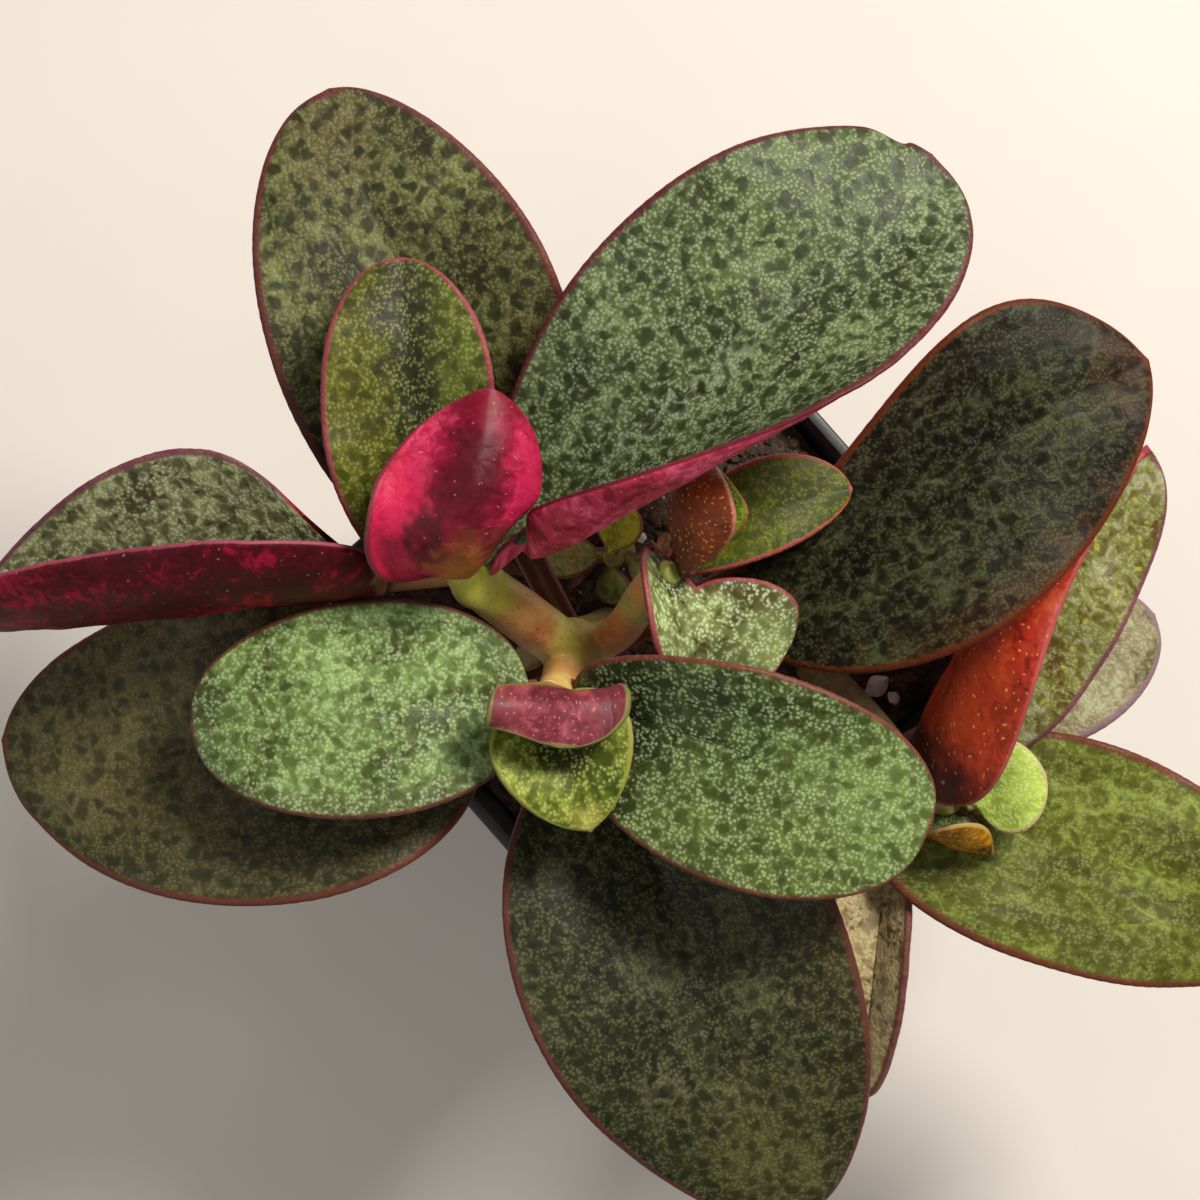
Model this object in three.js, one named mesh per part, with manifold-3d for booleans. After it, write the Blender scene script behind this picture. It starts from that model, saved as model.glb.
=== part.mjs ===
// A young Crassula multicava of the purple dragon form in a square nursery pot, in millimetres.
// The pot stands on z = 0 with its middle on the z axis. Plant positions are given in the plant's
// own frame, in which y points to the back, and the whole plant is turned on the pot.

import * as THREE from 'three';
import { mergeVertices } from 'three/addons/utils/BufferGeometryUtils.js';
import Module from 'manifold-3d';

// Driving dimensions of the pot and the soil
const POT_HEIGHT = 62;
const RIM_HALF = 34;
const RIM_BAND = 7;
const RIM_LIP = 1.6;
const RIM_STEP = 0.9;
const BASE_HALF = 23;
const BASE_BEVEL = 0.8;
const WALL = 1.2;
const FLOOR = 1.5;
const RIM_CORNER = 4;
const BASE_CORNER = 5;
const DRAIN_RADIUS = 3.5;
const DRAIN_PLACE = 13;
const SOIL_TOP = 57;
const SOIL_RELIEF = 0.7;

// Driving dimensions of the plant
const PLANT_TURN = -41.4;
const CLEARANCE = 0.3;
const STEM_SIDES = 10;
const STEM_STEPS = 3;

// Number of flat strips in each corner of the pot and in each leaf
const CORNER_STEPS = 5;
const SOIL_RINGS = 7;
const SECTION_STEPS = 24;

// Slivers that a cut leaves are merged away below this length
const SHORTEST_EDGE = 0.02;

const wasm = await Module();
wasm.setup();

const { degToRad, clamp, lerp } = THREE.MathUtils;

// Shape values that a leaf has unless its own entry says otherwise. Lengths are millimetres and
// angles degrees. rise and dip are the pitch of the midrib at the base and the tip, and swing bends
// it sideways. width, widest, full and sweep are given for the left and the right half: the half
// width, where along the blade it is reached, how full the outline is, and how far the blade's
// lower corner is swept back. neck is the narrow part of a half that only widens beyond it. fold,
// curl and lip tilt a half upward, and turn from their value at the base to their value at the
// tip. The names with Right are for the right half alone.
const LEAF_SHAPE = {
  rise: 25, dip: -10, swing: 0, roll: [0, 0], handle: 0.38,
  stalk: 0.12, stalkHalf: 1.8, stalkThick: 2.6, blunt: 0.5,
  neck: [0, 0], width: [10, 10], widest: [0.55, 0.55], full: [0.5, 0.5], sweep: [0, 0],
  thick: 2.2, margin: 0.8,
  fold: [12, 4], curl: [10, 0], lip: [0, 0],
  wave: 0, waves: 3, phase: 0,
  strips: 3, stations: 12,
};

// Leaves on the main stem, lowest first
const MAIN_LEAVES = {
  leaf_back_left: {
    base: [-11, -1, 82], tip: [-40, 64.5, 93], rise: 15, dip: -5, swing: 4, stalk: 0.2,
    width: [18.8, 17.8], widest: [0.42, 0.47], full: [0.42, 0.56], fold: [25, 4], curl: [10, -4],
    wave: 0.5, colour: 0x5a6644,
  },
  leaf_dark_left: {
    base: [-12, -3.5, 78], tip: [-80.5, -14, 84], rise: 30, dip: -20, swing: 14, stalk: 0.2,
    width: [20.5, 18], widest: [0.4, 0.5], full: [0.46, 0.5], fold: [20, 2], curl: [8, -6], wave: 0.5,
    colour: 0x454a38,
  },
  leaf_dark_front: {
    base: [-10, -4.5, 81], tip: [17, -73.5, 80], rise: 15, dip: -25, width: [18.8, 21.9],
    widest: [0.45, 0.42], full: [0.44, 0.6], fold: [20, 2], curl: [8, -8], wave: 0.5,
    colour: 0x434a3a,
  },
  leaf_dark_right: {
    base: [-6.5, -2.5, 71], tip: [58.2, 32, 93], rise: 45, dip: -12, stalk: 0.25, width: [14.6, 20.5],
    widest: [0.74, 0.43], full: [0.62, 0.6], fold: [25, 4], curl: [10, -4], wave: 0.6,
    colour: 0x4c4a38,
  },
  withered_scrap: {
    base: [-13.5, -3.5, 84.5], tip: [-18, -4, 84], rise: 10, dip: -20, stalk: 0.15, stalkHalf: 0.7,
    stalkThick: 1.2, width: [1.6, 1.8], widest: [0.6, 0.6], thick: 1, strips: 2, stations: 5,
    colour: 0xcfc2a0,
  },
};

// Leaves at the tip of the left branch
const LEFT_LEAVES = {
  leaf_lime_back: {
    base: [-25.2, 8.6, 98], tip: [-30.5, 43, 104.5], rise: 20, dip: -10, swing: 4, stalk: 0,
    width: [12, 9.5], widest: [0.42, 0.6], full: [0.38, 0.55], fold: [20, 8], curl: [10, 5],
    wave: 0.4, colour: 0x77833f,
  },
  leaf_cupped_crimson: {
    base: [-23.2, 7.1, 101.8], tip: [-20, 27, 113], heading: -97, rise: 85, dip: 200, handle: 0.6,
    roll: [28, 0], stalk: 0.08, stalkHalf: 1.6, width: [9.6, 12.3], widest: [0.6, 0.36],
    full: [0.42, 0.42], fold: [10, 10], curl: [45, 45], curlRight: [45, 50], lipRight: [-170, -60],
    wave: 0.3, strips: 4, colour: 0x8c3350,
  },
  leaf_folded_left: {
    base: [-24, 6.4, 96], tip: [-84, 0, 98], rise: 4, dip: 0, stalk: 0.15, width: [20, 20],
    widest: [0.42, 0.4], full: [0.31, 0.8], sweep: [0, -7], fold: [70, 78], curl: [75, 70],
    foldRight: [30, 20], curlRight: [10, 0], wave: 0.7, waves: 2.5, phase: 0.1, strips: 4,
    colour: 0x5b2f38,
  },
  leaf_large_back_right: {
    base: [-22, 6.5, 97], tip: [31.2, 55, 104], rise: 25, dip: -14, swing: -3, stalk: 0.08,
    width: [19.3, 20], widest: [0.54, 0.42], full: [0.48, 0.36], sweep: [0, -6],
    nick: { side: 0, at: 0.983, depth: 0.35 }, fold: [8, 2], curl: [6, -4], foldRight: [36, 0],
    curlRight: [132, 22], lipRight: [50, -30], wave: 0.6, strips: 4, colour: 0x6b7a5c,
  },
};

// Leaves at the tip of the front branch
const FRONT_LEAVES = {
  leaf_light_left: {
    base: [-15, -8, 95], tip: [-55.5, -12, 99], rise: 20, dip: -17, stalk: 0.03, width: [12.5, 13.2],
    widest: [0.48, 0.48], full: [0.4, 0.4], fold: [8, 3], curl: [5, 0], foldRight: [5, 2],
    curlRight: [0, 0], wave: 0.3, colour: 0x728062,
  },
  leaf_light_front_right: {
    base: [-10.5, -8, 94.5], tip: [31.5, -22.5, 100.5], rise: 35, dip: -20, stalk: 0.03,
    width: [11, 15.3], widest: [0.52, 0.52], full: [0.4, 0.36], sweep: [1, 0], fold: [34, 4],
    curl: [12, 0], foldRight: [-5, 4], wave: 0.3, colour: 0x6c7c55,
  },
  leaf_young_front: {
    base: [-13, -9.2, 99.1], tip: [-8.6, -23.6, 101.2], rise: 20, dip: -30, stalk: 0,
    width: [8.5, 8.9], widest: [0.34, 0.34], full: [0.65, 0.62], sweep: [1, 1], thick: 1.8,
    fold: [15, 5], stations: 9, colour: 0x768548,
  },
  leaf_young_upright: {
    base: [-13.7, -7.6, 102.2], tip: [-12.2, -13.9, 107.5], heading: 82, rise: 84, dip: 175,
    handle: 0.6, stalk: 0.05, width: [8.6, 8.8], widest: [0.52, 0.52], full: [0.6, 0.6], thick: 1.6,
    margin: 1.2, fold: [5, 5], curl: [3, 3], lip: [-25, -25], stations: 10, colour: 0x9c5a64,
  },
};

// Leaves at the tip of the right branch
const RIGHT_LEAVES = {
  leaf_mint_right: {
    base: [-0.8, 8.2, 98.4], tip: [12.7, -5.5, 94], rise: 4, dip: -35, stalk: 0.03, stalkHalf: 1.2,
    neck: [0.3, 0], width: [8.4, 9.2], widest: [0.6, 0.42], full: [0.36, 0.36], sweep: [2, 2],
    fold: [8, 0], curl: [5, -5], foldRight: [45, -25], curlRight: [70, -30], wave: 0.4,
    colour: 0x8a9e7c,
  },
  leaf_small_right: {
    base: [1.3, 6.9, 95], tip: [22.5, 16.5, 95], rise: 20, dip: -20, swing: 14, stalk: 0.06,
    width: [6.5, 4.8], widest: [0.52, 0.52], thick: 1.8, fold: [12, 5], stations: 9, colour: 0x6f7a3e,
  },
  leaf_small_cupped: {
    base: [3.2, 6.5, 100.6], tip: [3.4, 21, 102], rise: 15, dip: -5, swing: 30, stalk: 0.04,
    stalkHalf: 1.2, width: [11, 9.3], widest: [0.5, 0.5], full: [0.42, 0.42], thick: 1.6,
    fold: [100, 100], curl: [70, 60], foldRight: [20, 20], curlRight: [10, 0], stations: 10,
    colour: 0x6b4540,
  },
};

// Leaves on the side stem
const SIDE_LEAVES = {
  leaf_side_back_low: {
    base: [31, -16, 68.5], tip: [63.4, 1.3, 67], rise: 0, dip: -15, stalk: 0.15, width: [9, 9.6],
    widest: [0.5, 0.55], full: [0.45, 0.42], stations: 10, colour: 0x8b9478,
  },
  leaf_side_front: {
    base: [30.5, -18, 67.5], tip: [26.5, -61, 63], rise: 5, dip: -20, stalk: 0.1, width: [6, 10],
    widest: [0.5, 0.5], full: [0.45, 0.45], fold: [60, 50], foldRight: [10, 0], stations: 10,
    colour: 0x4a4d33,
  },
  leaf_side_right: {
    base: [33.5, -22, 71.9], tip: [80.5, -37.5, 70], rise: 5, dip: -12, stalk: 0, width: [14, 15.3],
    widest: [0.42, 0.4], full: [0.45, 0.32], sweep: [0, 5], fold: [0, 3], curl: [5, -5],
    foldRight: [10, 3], wave: 0.6, colour: 0x6b783a,
  },
  leaf_side_folded: {
    base: [31.8, -17, 74.5], tip: [60.5, 21.5, 84], rise: 20, dip: 5, swing: 18, stalk: 0.02,
    width: [16.5, 15.4], widest: [0.22, 0.42], full: [0.95, 0.42], sweep: [4, 0], fold: [95, 90],
    curl: [75, 60], foldRight: [8, 0], curlRight: [10, 0], wave: 0.5, strips: 4, colour: 0x84463a,
  },
  leaf_side_young: {
    base: [38.2, -21.5, 78.2], tip: [47.5, -18.2, 82.3], rise: 20, dip: -10, stalk: 0.12,
    width: [6.6, 5.9], widest: [0.5, 0.5], full: [0.5, 0.5], thick: 1.4, stations: 8,
    colour: 0x93a25c,
  },
  leaf_side_cupped: {
    base: [33.3, -24.6, 75], tip: [41.8, -28, 77.5], rise: 10, dip: 0, swing: -22, stalk: 0.04,
    stalkHalf: 1.2, width: [4, 7.2], widest: [0.5, 0.55], full: [0.5, 0.5], thick: 1.5, fold: [10, 5],
    curl: [10, 10], foldRight: [60, 110], curlRight: [20, 60], stations: 8, colour: 0x7b5236,
  },
};

// Small leaves of the deep shoot behind the main stem
const DEEP_LEAVES = {
  leaf_deep_left: {
    base: [-7, 9, 65.5], tip: [-15.5, 9, 66], rise: 20, dip: -10, width: [3, 3], colour: 0x55624a,
  },
  leaf_deep_front: {
    base: [-6, 7.6, 65], tip: [-5.5, 2.8, 64], rise: 10, dip: -20, width: [2.2, 2.2],
    colour: 0x2f3a26,
  },
  leaf_deep_back: {
    base: [-6, 9.5, 68.5], tip: [-4, 15.5, 71], rise: 30, dip: -10, width: [3, 3], colour: 0x76813a,
  },
  leaf_deep_right: {
    base: [-4.1, 8.7, 64.5], tip: [0.8, 5.6, 64], rise: 10, dip: -10, width: [2.4, 2.4],
    colour: 0x2f3a26,
  },
};
const DEEP_SHAPE = { thick: 1.4, stalkHalf: 1, stalkThick: 1.8, strips: 2, stations: 6 };

// Each stem is one or more tapered lengths: the points of its axis and the radius at each point
const STEMS = {
  stem_main: [
    { points: [[-5.5, -1, 49], [-6.5, -1, 58], [-8, -1.5, 68], [-10, -2, 78], [-11, -3, 86]],
      radii: [3, 3.3, 3.1, 3, 3.1] },
    { points: [[-11, -3, 86], [-17, 1.5, 91], [-22.5, 5.7, 96.5], [-24, 7.3, 100.4]],
      radii: [3.1, 3.2, 2.9, 2] },
    { points: [[-11, -3.5, 85], [-12, -6.5, 90], [-13, -8, 97], [-13.6, -7.6, 101.4]],
      radii: [3, 2.6, 2.2, 1.5] },
    { points: [[-10, -3, 82], [-5, -0.5, 87], [-2, 4, 94], [-0.5, 6.2, 98.5], [1.4, 6.4, 101]],
      radii: [2.4, 2.3, 2.2, 1.8, 1.3] },
  ],
  stem_side: [
    { points: [[17, -1.5, 49], [21, -6, 56], [26.5, -12, 65], [31.5, -18, 70], [35, -21.5, 75],
      [36.7, -21.9, 78]],
      radii: [2.8, 2.8, 2.6, 2.4, 2.2, 1.7] },
  ],
  stem_deep: [
    { points: [[-3.2, 10.5, 50], [-4, 10, 56], [-5, 9, 62], [-6, 8.6, 68]],
      radii: [1.6, 1.6, 1.5, 1.2] },
  ],
};

// Swollen joints where branches and leaf pairs meet the stems: place, radius and stem
const NODES = [
  { stem: 'stem_main', place: [-10.8, -2.9, 84.5], radius: 4.1 },
  { stem: 'stem_main', place: [-22, 5.4, 96], radius: 3.4 },
  { stem: 'stem_side', place: [31.6, -18, 70.2], radius: 2.8 },
];

// Coarse grains at the soil's surface, across and along the pot: perlite and bark chips
const GRAINS = [
  { place: [16.2, -25.3], size: [2, 1.7, 1.4] },
  { place: [20.4, -26.8], size: [1.5, 1.3, 1.1] },
  { place: [-27.5, -6.5], size: [3.2, 1.6, 1.3] },
  { place: [-14, -22], size: [1.5, 1.3, 1] },
  { place: [8, -24], size: [2.8, 1.5, 1.1] },
  { place: [26, -12], size: [1.6, 1.5, 1.2] },
  { place: [-9, 25], size: [3, 1.4, 1.2] },
  { place: [-26, 17], size: [1.4, 1.5, 1.1] },
  { place: [10, 22], size: [1.3, 1.2, 1] },
  { place: [-20, -14], size: [1.3, 1.1, 1] },
];

function material(colour, roughness) {
  return new THREE.MeshStandardMaterial({ color: colour, roughness, metalness: 0 });
}

function closedGeometry(positions, faces) {
  const geometry = new THREE.BufferGeometry();
  geometry.setAttribute('position', new THREE.Float32BufferAttribute(positions.flatMap((p) => p.toArray()), 3));
  geometry.setIndex(faces.flat());
  geometry.computeVertexNormals();
  return geometry;
}

function toSolid(geometry) {
  const bare = geometry.clone();
  bare.deleteAttribute('normal');
  bare.deleteAttribute('uv');
  const merged = mergeVertices(bare);
  const vertProperties = Float32Array.from(merged.attributes.position.array);
  const triVerts = Uint32Array.from(merged.index.array);
  return new wasm.Manifold(new wasm.Mesh({ numProp: 3, vertProperties, triVerts }));
}

function toGeometry(solid) {
  const cut = solid.simplify(SHORTEST_EDGE).getMesh();
  const geometry = new THREE.BufferGeometry();
  geometry.setAttribute('position', new THREE.BufferAttribute(cut.vertProperties, 3));
  geometry.setIndex(new THREE.BufferAttribute(cut.triVerts, 1));
  geometry.computeVertexNormals();
  return geometry;
}

// Joins equal rings of points into a closed skin. The rings run anticlockwise seen from the side
// that the last ring faces, and the first and last ring are closed by a fan.
function loftGeometry(rings) {
  const count = rings[0].length;
  const positions = rings.flat();
  const faces = [];
  for (let r = 0; r < rings.length - 1; r++) {
    for (let k = 0; k < count; k++) {
      const a = r * count + k;
      const b = r * count + (k + 1) % count;
      faces.push([a, b, b + count], [a, b + count, a + count]);
    }
  }
  const middle = (ring) => ring.reduce((sum, p) => sum.add(p), new THREE.Vector3()).divideScalar(count);
  const first = positions.push(middle(rings[0])) - 1;
  const last = positions.push(middle(rings.at(-1))) - 1;
  const top = (rings.length - 1) * count;
  for (let k = 0; k < count; k++) {
    const next = (k + 1) % count;
    faces.push([first, next, k], [last, top + k, top + next]);
  }
  return closedGeometry(positions, faces);
}

// Square with round corners at height z, anticlockwise seen from above
function roundedSquare(half, corner, z) {
  const ring = [];
  for (let quarter = 0; quarter < 4; quarter++) {
    for (let k = 0; k <= CORNER_STEPS; k++) {
      const angle = (quarter + k / CORNER_STEPS) * Math.PI / 2;
      const middle = (quarter + 0.5) * Math.PI / 2;
      const reach = (half - corner) * Math.SQRT2;
      const x = reach * Math.cos(middle) + corner * Math.cos(angle);
      const y = reach * Math.sin(middle) + corner * Math.sin(angle);
      ring.push(new THREE.Vector3(x, y, z));
    }
  }
  return ring;
}

// Half width of the pot's outer body, below the rim band
function bodyHalf(z) {
  const top = RIM_HALF - RIM_STEP;
  return lerp(BASE_HALF, top, z / POT_HEIGHT);
}

function bodyCorner(z) {
  return lerp(BASE_CORNER, RIM_CORNER, z / POT_HEIGHT);
}

function potGeometry() {
  const band = POT_HEIGHT - RIM_BAND;
  const outer = (z, extra = 0) => roundedSquare(bodyHalf(z) + extra, bodyCorner(z) + extra, z);
  const rings = [
    roundedSquare(BASE_HALF - BASE_BEVEL, BASE_CORNER - BASE_BEVEL, 0),
    outer(BASE_BEVEL),
    outer(band),
    outer(band + RIM_STEP / 2, RIM_STEP),
    roundedSquare(RIM_HALF, RIM_CORNER, POT_HEIGHT - RIM_STEP / 3),
    roundedSquare(RIM_HALF - RIM_STEP / 3, RIM_CORNER - RIM_STEP / 3, POT_HEIGHT),
    roundedSquare(RIM_HALF - RIM_LIP, RIM_CORNER - RIM_LIP, POT_HEIGHT),
    outer(band, -WALL),
    outer(FLOOR, -WALL),
  ];
  let solid = toSolid(loftGeometry(rings));
  for (const x of [-DRAIN_PLACE, DRAIN_PLACE]) {
    for (const y of [-DRAIN_PLACE, DRAIN_PLACE]) {
      const drain = new THREE.CylinderGeometry(DRAIN_RADIUS, DRAIN_RADIUS, 4 * FLOOR, 16);
      drain.rotateX(Math.PI / 2);
      drain.translate(x, y, 0);
      solid = solid.subtract(toSolid(drain));
    }
  }
  return toGeometry(solid);
}

// Uneven surface of the soil above its mean height
function soilRelief(x, y) {
  const slow = Math.sin(0.23 * x + 1.1) * Math.cos(0.19 * y - 0.6);
  const quick = Math.sin(0.71 * x - 0.43 * y) * Math.cos(0.58 * y + 0.37 * x + 2);
  return SOIL_RELIEF * (0.6 * slow + 0.4 * quick);
}

function soilBody() {
  const inset = WALL + CLEARANCE;
  const ringAt = (z) => roundedSquare(bodyHalf(z) - inset, bodyCorner(z) - inset, z);
  const rings = [ringAt(FLOOR + CLEARANCE)];
  for (let k = 0; k < SOIL_RINGS; k++) {
    const shrink = 1 - k / SOIL_RINGS;
    const ring = ringAt(SOIL_TOP).map((p) => new THREE.Vector3(p.x * shrink, p.y * shrink, SOIL_TOP));
    ring.forEach((p) => { p.z += soilRelief(p.x, p.y); });
    rings.push(ring);
  }
  return toSolid(loftGeometry(rings));
}

function grainSolid(grain, index) {
  const lump = new THREE.IcosahedronGeometry(1, 0);
  lump.scale(...grain.size);
  lump.rotateZ(index * 2.4);
  const [x, y] = grain.place;
  lump.translate(x, y, SOIL_TOP + soilRelief(x, y) + 0.2 * grain.size[2]);
  return toSolid(lump);
}

// Tapered length of stem. grow widens it and lengthens both its ends.
function stemLength({ points, radii }, grow) {
  const axis = new THREE.CatmullRomCurve3(points.map((p) => new THREE.Vector3(...p)));
  const steps = (points.length - 1) * STEM_STEPS;
  const rings = [];
  for (let k = 0; k <= steps; k++) {
    const t = k / steps;
    const tangent = axis.getTangent(t);
    const across = new THREE.Vector3(0, 1, 0).cross(tangent).normalize();
    const up = tangent.clone().cross(across);
    const place = (points.length - 1) * t;
    const index = Math.min(Math.floor(place), points.length - 2);
    const radius = lerp(radii[index], radii[index + 1], place - index) + grow;
    const centre = axis.getPoint(t);
    if (k === 0) centre.addScaledVector(tangent, -grow);
    if (k === steps) centre.addScaledVector(tangent, grow);
    const ring = [];
    for (let side = 0; side < STEM_SIDES; side++) {
      const angle = 2 * Math.PI * side / STEM_SIDES;
      const offset = across.clone().multiplyScalar(radius * Math.cos(angle));
      offset.addScaledVector(up, radius * Math.sin(angle));
      ring.push(offset.add(centre));
    }
    rings.push(ring);
  }
  return toSolid(loftGeometry(rings));
}

function stemSolid(name, grow = 0) {
  let solid = STEMS[name].map((length) => stemLength(length, grow)).reduce((sum, next) => sum.add(next));
  for (const node of NODES.filter((entry) => entry.stem === name)) {
    const bead = new THREE.IcosahedronGeometry(node.radius + grow, 1);
    bead.translate(...node.place);
    solid = solid.add(toSolid(bead));
  }
  return solid;
}

function direction(azimuth, pitch) {
  const a = degToRad(azimuth);
  const p = degToRad(pitch);
  return new THREE.Vector3(Math.cos(p) * Math.cos(a), Math.cos(p) * Math.sin(a), Math.sin(p));
}

// The midrib as a cubic curve, with its plan heading in degrees
function leafSpine(leaf) {
  const base = new THREE.Vector3(...leaf.base);
  const tip = new THREE.Vector3(...leaf.tip);
  const chord = tip.clone().sub(base);
  const handle = chord.length() * leaf.handle;
  const heading = leaf.heading ?? THREE.MathUtils.radToDeg(Math.atan2(chord.y, chord.x));
  const first = base.clone().addScaledVector(direction(heading + leaf.swing, leaf.rise), handle);
  const second = tip.clone().addScaledVector(direction(heading - leaf.swing, leaf.dip), -handle);
  return { curve: new THREE.CubicBezierCurve3(base, first, second, tip), heading };
}

// Directions at station t: along the midrib, across to the left, and out of the upper face
function leafFrame(leaf, spine, t) {
  const along = spine.curve.getTangentAt(t);
  const plan = degToRad(spine.heading + leaf.swing * (1 - 2 * t));
  const left = new THREE.Vector3(-Math.sin(plan), Math.cos(plan), 0);
  left.addScaledVector(along, -left.dot(along)).normalize();
  const normal = along.clone().cross(left);
  const roll = degToRad(lerp(...leaf.roll, t));
  const across = left.clone().multiplyScalar(Math.cos(roll)).addScaledVector(normal, Math.sin(roll));
  const up = normal.multiplyScalar(Math.cos(roll)).addScaledVector(left, -Math.sin(roll));
  return { centre: spine.curve.getPointAt(t), along, across, up };
}

// Half width of the blade on one side, with s measured from the end of the stalk
function halfWidth(leaf, side, t, s) {
  const skew = Math.log(0.5) / Math.log(leaf.widest[side]);
  const part = (s - leaf.neck[side]) / (1 - leaf.neck[side]);
  let blade = 0;
  if (part > 0 && part < 1) blade = leaf.width[side] * Math.sin(Math.PI * part ** skew) ** leaf.full[side];
  if (leaf.nick?.side === side) {
    blade *= 1 - leaf.nick.depth * Math.exp(-(((t - leaf.nick.at) / 0.012) ** 2));
  }
  return Math.max(Math.hypot(leaf.stalkHalf * (1 - s * s), blade), leaf.blunt);
}

// Upper and lower points of one half at station t, from the midrib to the edge
function halfSection(leaf, frame, side, t) {
  const s = clamp((t - leaf.stalk) / (1 - leaf.stalk), 0, 1);
  const sign = side === 0 ? 1 : -1;
  const half = halfWidth(leaf, side, t, s);
  const own = (name) => lerp(...((side === 1 && leaf[`${name}Right`]) || leaf[name]), t);
  const [fold, curl, lip] = [own('fold'), own('curl'), own('lip')];
  const tilt = (q) => degToRad(fold + curl * q + lip * q ** 4);
  const body = lerp(leaf.stalkThick, leaf.thick, Math.min(1, 4 * s));
  const ripple = Math.sin(2 * Math.PI * (leaf.waves * t + leaf.phase + 0.4 * side)) * Math.min(1, 3 * s);
  const section = [];
  let out = 0;
  let lift = 0;
  let step = 0;
  for (let i = 0; i <= leaf.strips; i++) {
    const q = 0.5 * Math.sin(Math.PI / 2 * i / leaf.strips) + 0.5 * i / leaf.strips;
    for (; step < Math.round(q * SECTION_STEPS); step++) {
      const angle = tilt((step + 0.5) / SECTION_STEPS);
      out += Math.cos(angle) * half / SECTION_STEPS;
      lift += Math.sin(angle) * half / SECTION_STEPS;
    }
    const angle = i === 0 ? 0 : tilt(q);
    const normal = frame.up.clone().multiplyScalar(Math.cos(angle));
    normal.addScaledVector(frame.across, -sign * Math.sin(angle));
    const point = frame.centre.clone().addScaledVector(frame.across, sign * out);
    point.addScaledVector(frame.up, lift + leaf.wave * q * q * ripple);
    point.addScaledVector(frame.along, -leaf.sweep[side] * q * q * (1 - s) ** 3);
    const depth = lerp(body, leaf.margin, q ** 2.2) / 2;
    section.push({
      top: point.clone().addScaledVector(normal, depth),
      bottom: point.clone().addScaledVector(normal, -depth),
    });
  }
  return section;
}

// Closed skin of a leaf. Both faces are divided alike, so a thin blade keeps its thickness.
function leafGeometry(leaf) {
  const spine = leafSpine(leaf);
  const rings = [];
  for (let j = 0; j <= leaf.stations; j++) {
    const even = j / leaf.stations;
    const t = lerp(even, Math.sin(Math.PI / 2 * even), 0.75);
    const frame = leafFrame(leaf, spine, t);
    const left = halfSection(leaf, frame, 0, t).reverse();
    const right = halfSection(leaf, frame, 1, t).slice(1);
    rings.push([...left, ...right]);
  }
  const count = rings[0].length;
  const upper = (j, i) => j * count + i;
  const lower = (j, i) => (rings.length + j) * count + i;
  const positions = [...rings.flat().map((p) => p.top), ...rings.flat().map((p) => p.bottom)];
  const faces = [];
  const quad = (a, b, c, d) => faces.push([a, b, c], [a, c, d]);
  const last = rings.length - 1;
  const edge = count - 1;
  for (let j = 0; j < last; j++) {
    for (let i = 0; i < edge; i++) {
      quad(upper(j, i), upper(j, i + 1), upper(j + 1, i + 1), upper(j + 1, i));
      faces.push([lower(j, i), lower(j + 1, i + 1), lower(j, i + 1)]);
      faces.push([lower(j, i), lower(j + 1, i), lower(j + 1, i + 1)]);
    }
    quad(upper(j, 0), upper(j + 1, 0), lower(j + 1, 0), lower(j, 0));
    quad(lower(j, edge), lower(j + 1, edge), upper(j + 1, edge), upper(j, edge));
  }
  for (let i = 0; i < edge; i++) {
    quad(lower(0, i), lower(0, i + 1), upper(0, i + 1), upper(0, i));
    quad(upper(last, i), upper(last, i + 1), lower(last, i + 1), lower(last, i));
  }
  return closedGeometry(positions, faces);
}

function addMesh(group, name, geometry, look) {
  const mesh = new THREE.Mesh(geometry, look);
  mesh.name = name;
  group.add(mesh);
}

// Leaves of one stem, each cut back to the clearance around it
function addLeaves(group, leaves, stemName, shape = {}) {
  const around = stemSolid(stemName, CLEARANCE);
  for (const [name, entry] of Object.entries(leaves)) {
    const leaf = { ...LEAF_SHAPE, ...shape, ...entry };
    const solid = toSolid(leafGeometry(leaf)).subtract(around);
    addMesh(group, name, toGeometry(solid), material(leaf.colour, 0.42));
  }
}

function addSoil(group) {
  let solid = soilBody();
  GRAINS.forEach((grain, index) => { solid = solid.add(grainSolid(grain, index)); });
  for (const name of Object.keys(STEMS)) {
    const hole = toGeometry(stemSolid(name, CLEARANCE));
    hole.rotateZ(degToRad(PLANT_TURN));
    solid = solid.subtract(toSolid(hole));
  }
  addMesh(group, 'soil', toGeometry(solid), material(0x2b2522, 0.95));
}

const part = new THREE.Group();
addMesh(part, 'pot', potGeometry(), material(0x26262a, 0.5));
addSoil(part);

const plant = new THREE.Group();
plant.rotation.z = degToRad(PLANT_TURN);
part.add(plant);
addMesh(plant, 'stem_main', toGeometry(stemSolid('stem_main')), material(0x9c8a55, 0.45));
addMesh(plant, 'stem_side', toGeometry(stemSolid('stem_side')), material(0x6f7040, 0.5));
addMesh(plant, 'stem_deep', toGeometry(stemSolid('stem_deep')), material(0x7c7a48, 0.5));
addLeaves(plant, MAIN_LEAVES, 'stem_main');
addLeaves(plant, LEFT_LEAVES, 'stem_main');
addLeaves(plant, FRONT_LEAVES, 'stem_main');
addLeaves(plant, RIGHT_LEAVES, 'stem_main');
addLeaves(plant, SIDE_LEAVES, 'stem_side');
addLeaves(plant, DEEP_LEAVES, 'stem_deep', DEEP_SHAPE);

export default part;
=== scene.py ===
"""A young purple dragon fairy crassula in a square nursery pot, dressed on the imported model.

Plant positions in the tables are millimetres in the plant's own frame, in which y points to the
back, and angles are degrees. The whole plant is turned on the pot by PLANT_TURN.
"""

from math import atan2, cos, degrees, exp, hypot, log, pi, radians, sin, sqrt
from random import Random

import bpy
import bmesh
from mathutils import Matrix, Vector, noise


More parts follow.
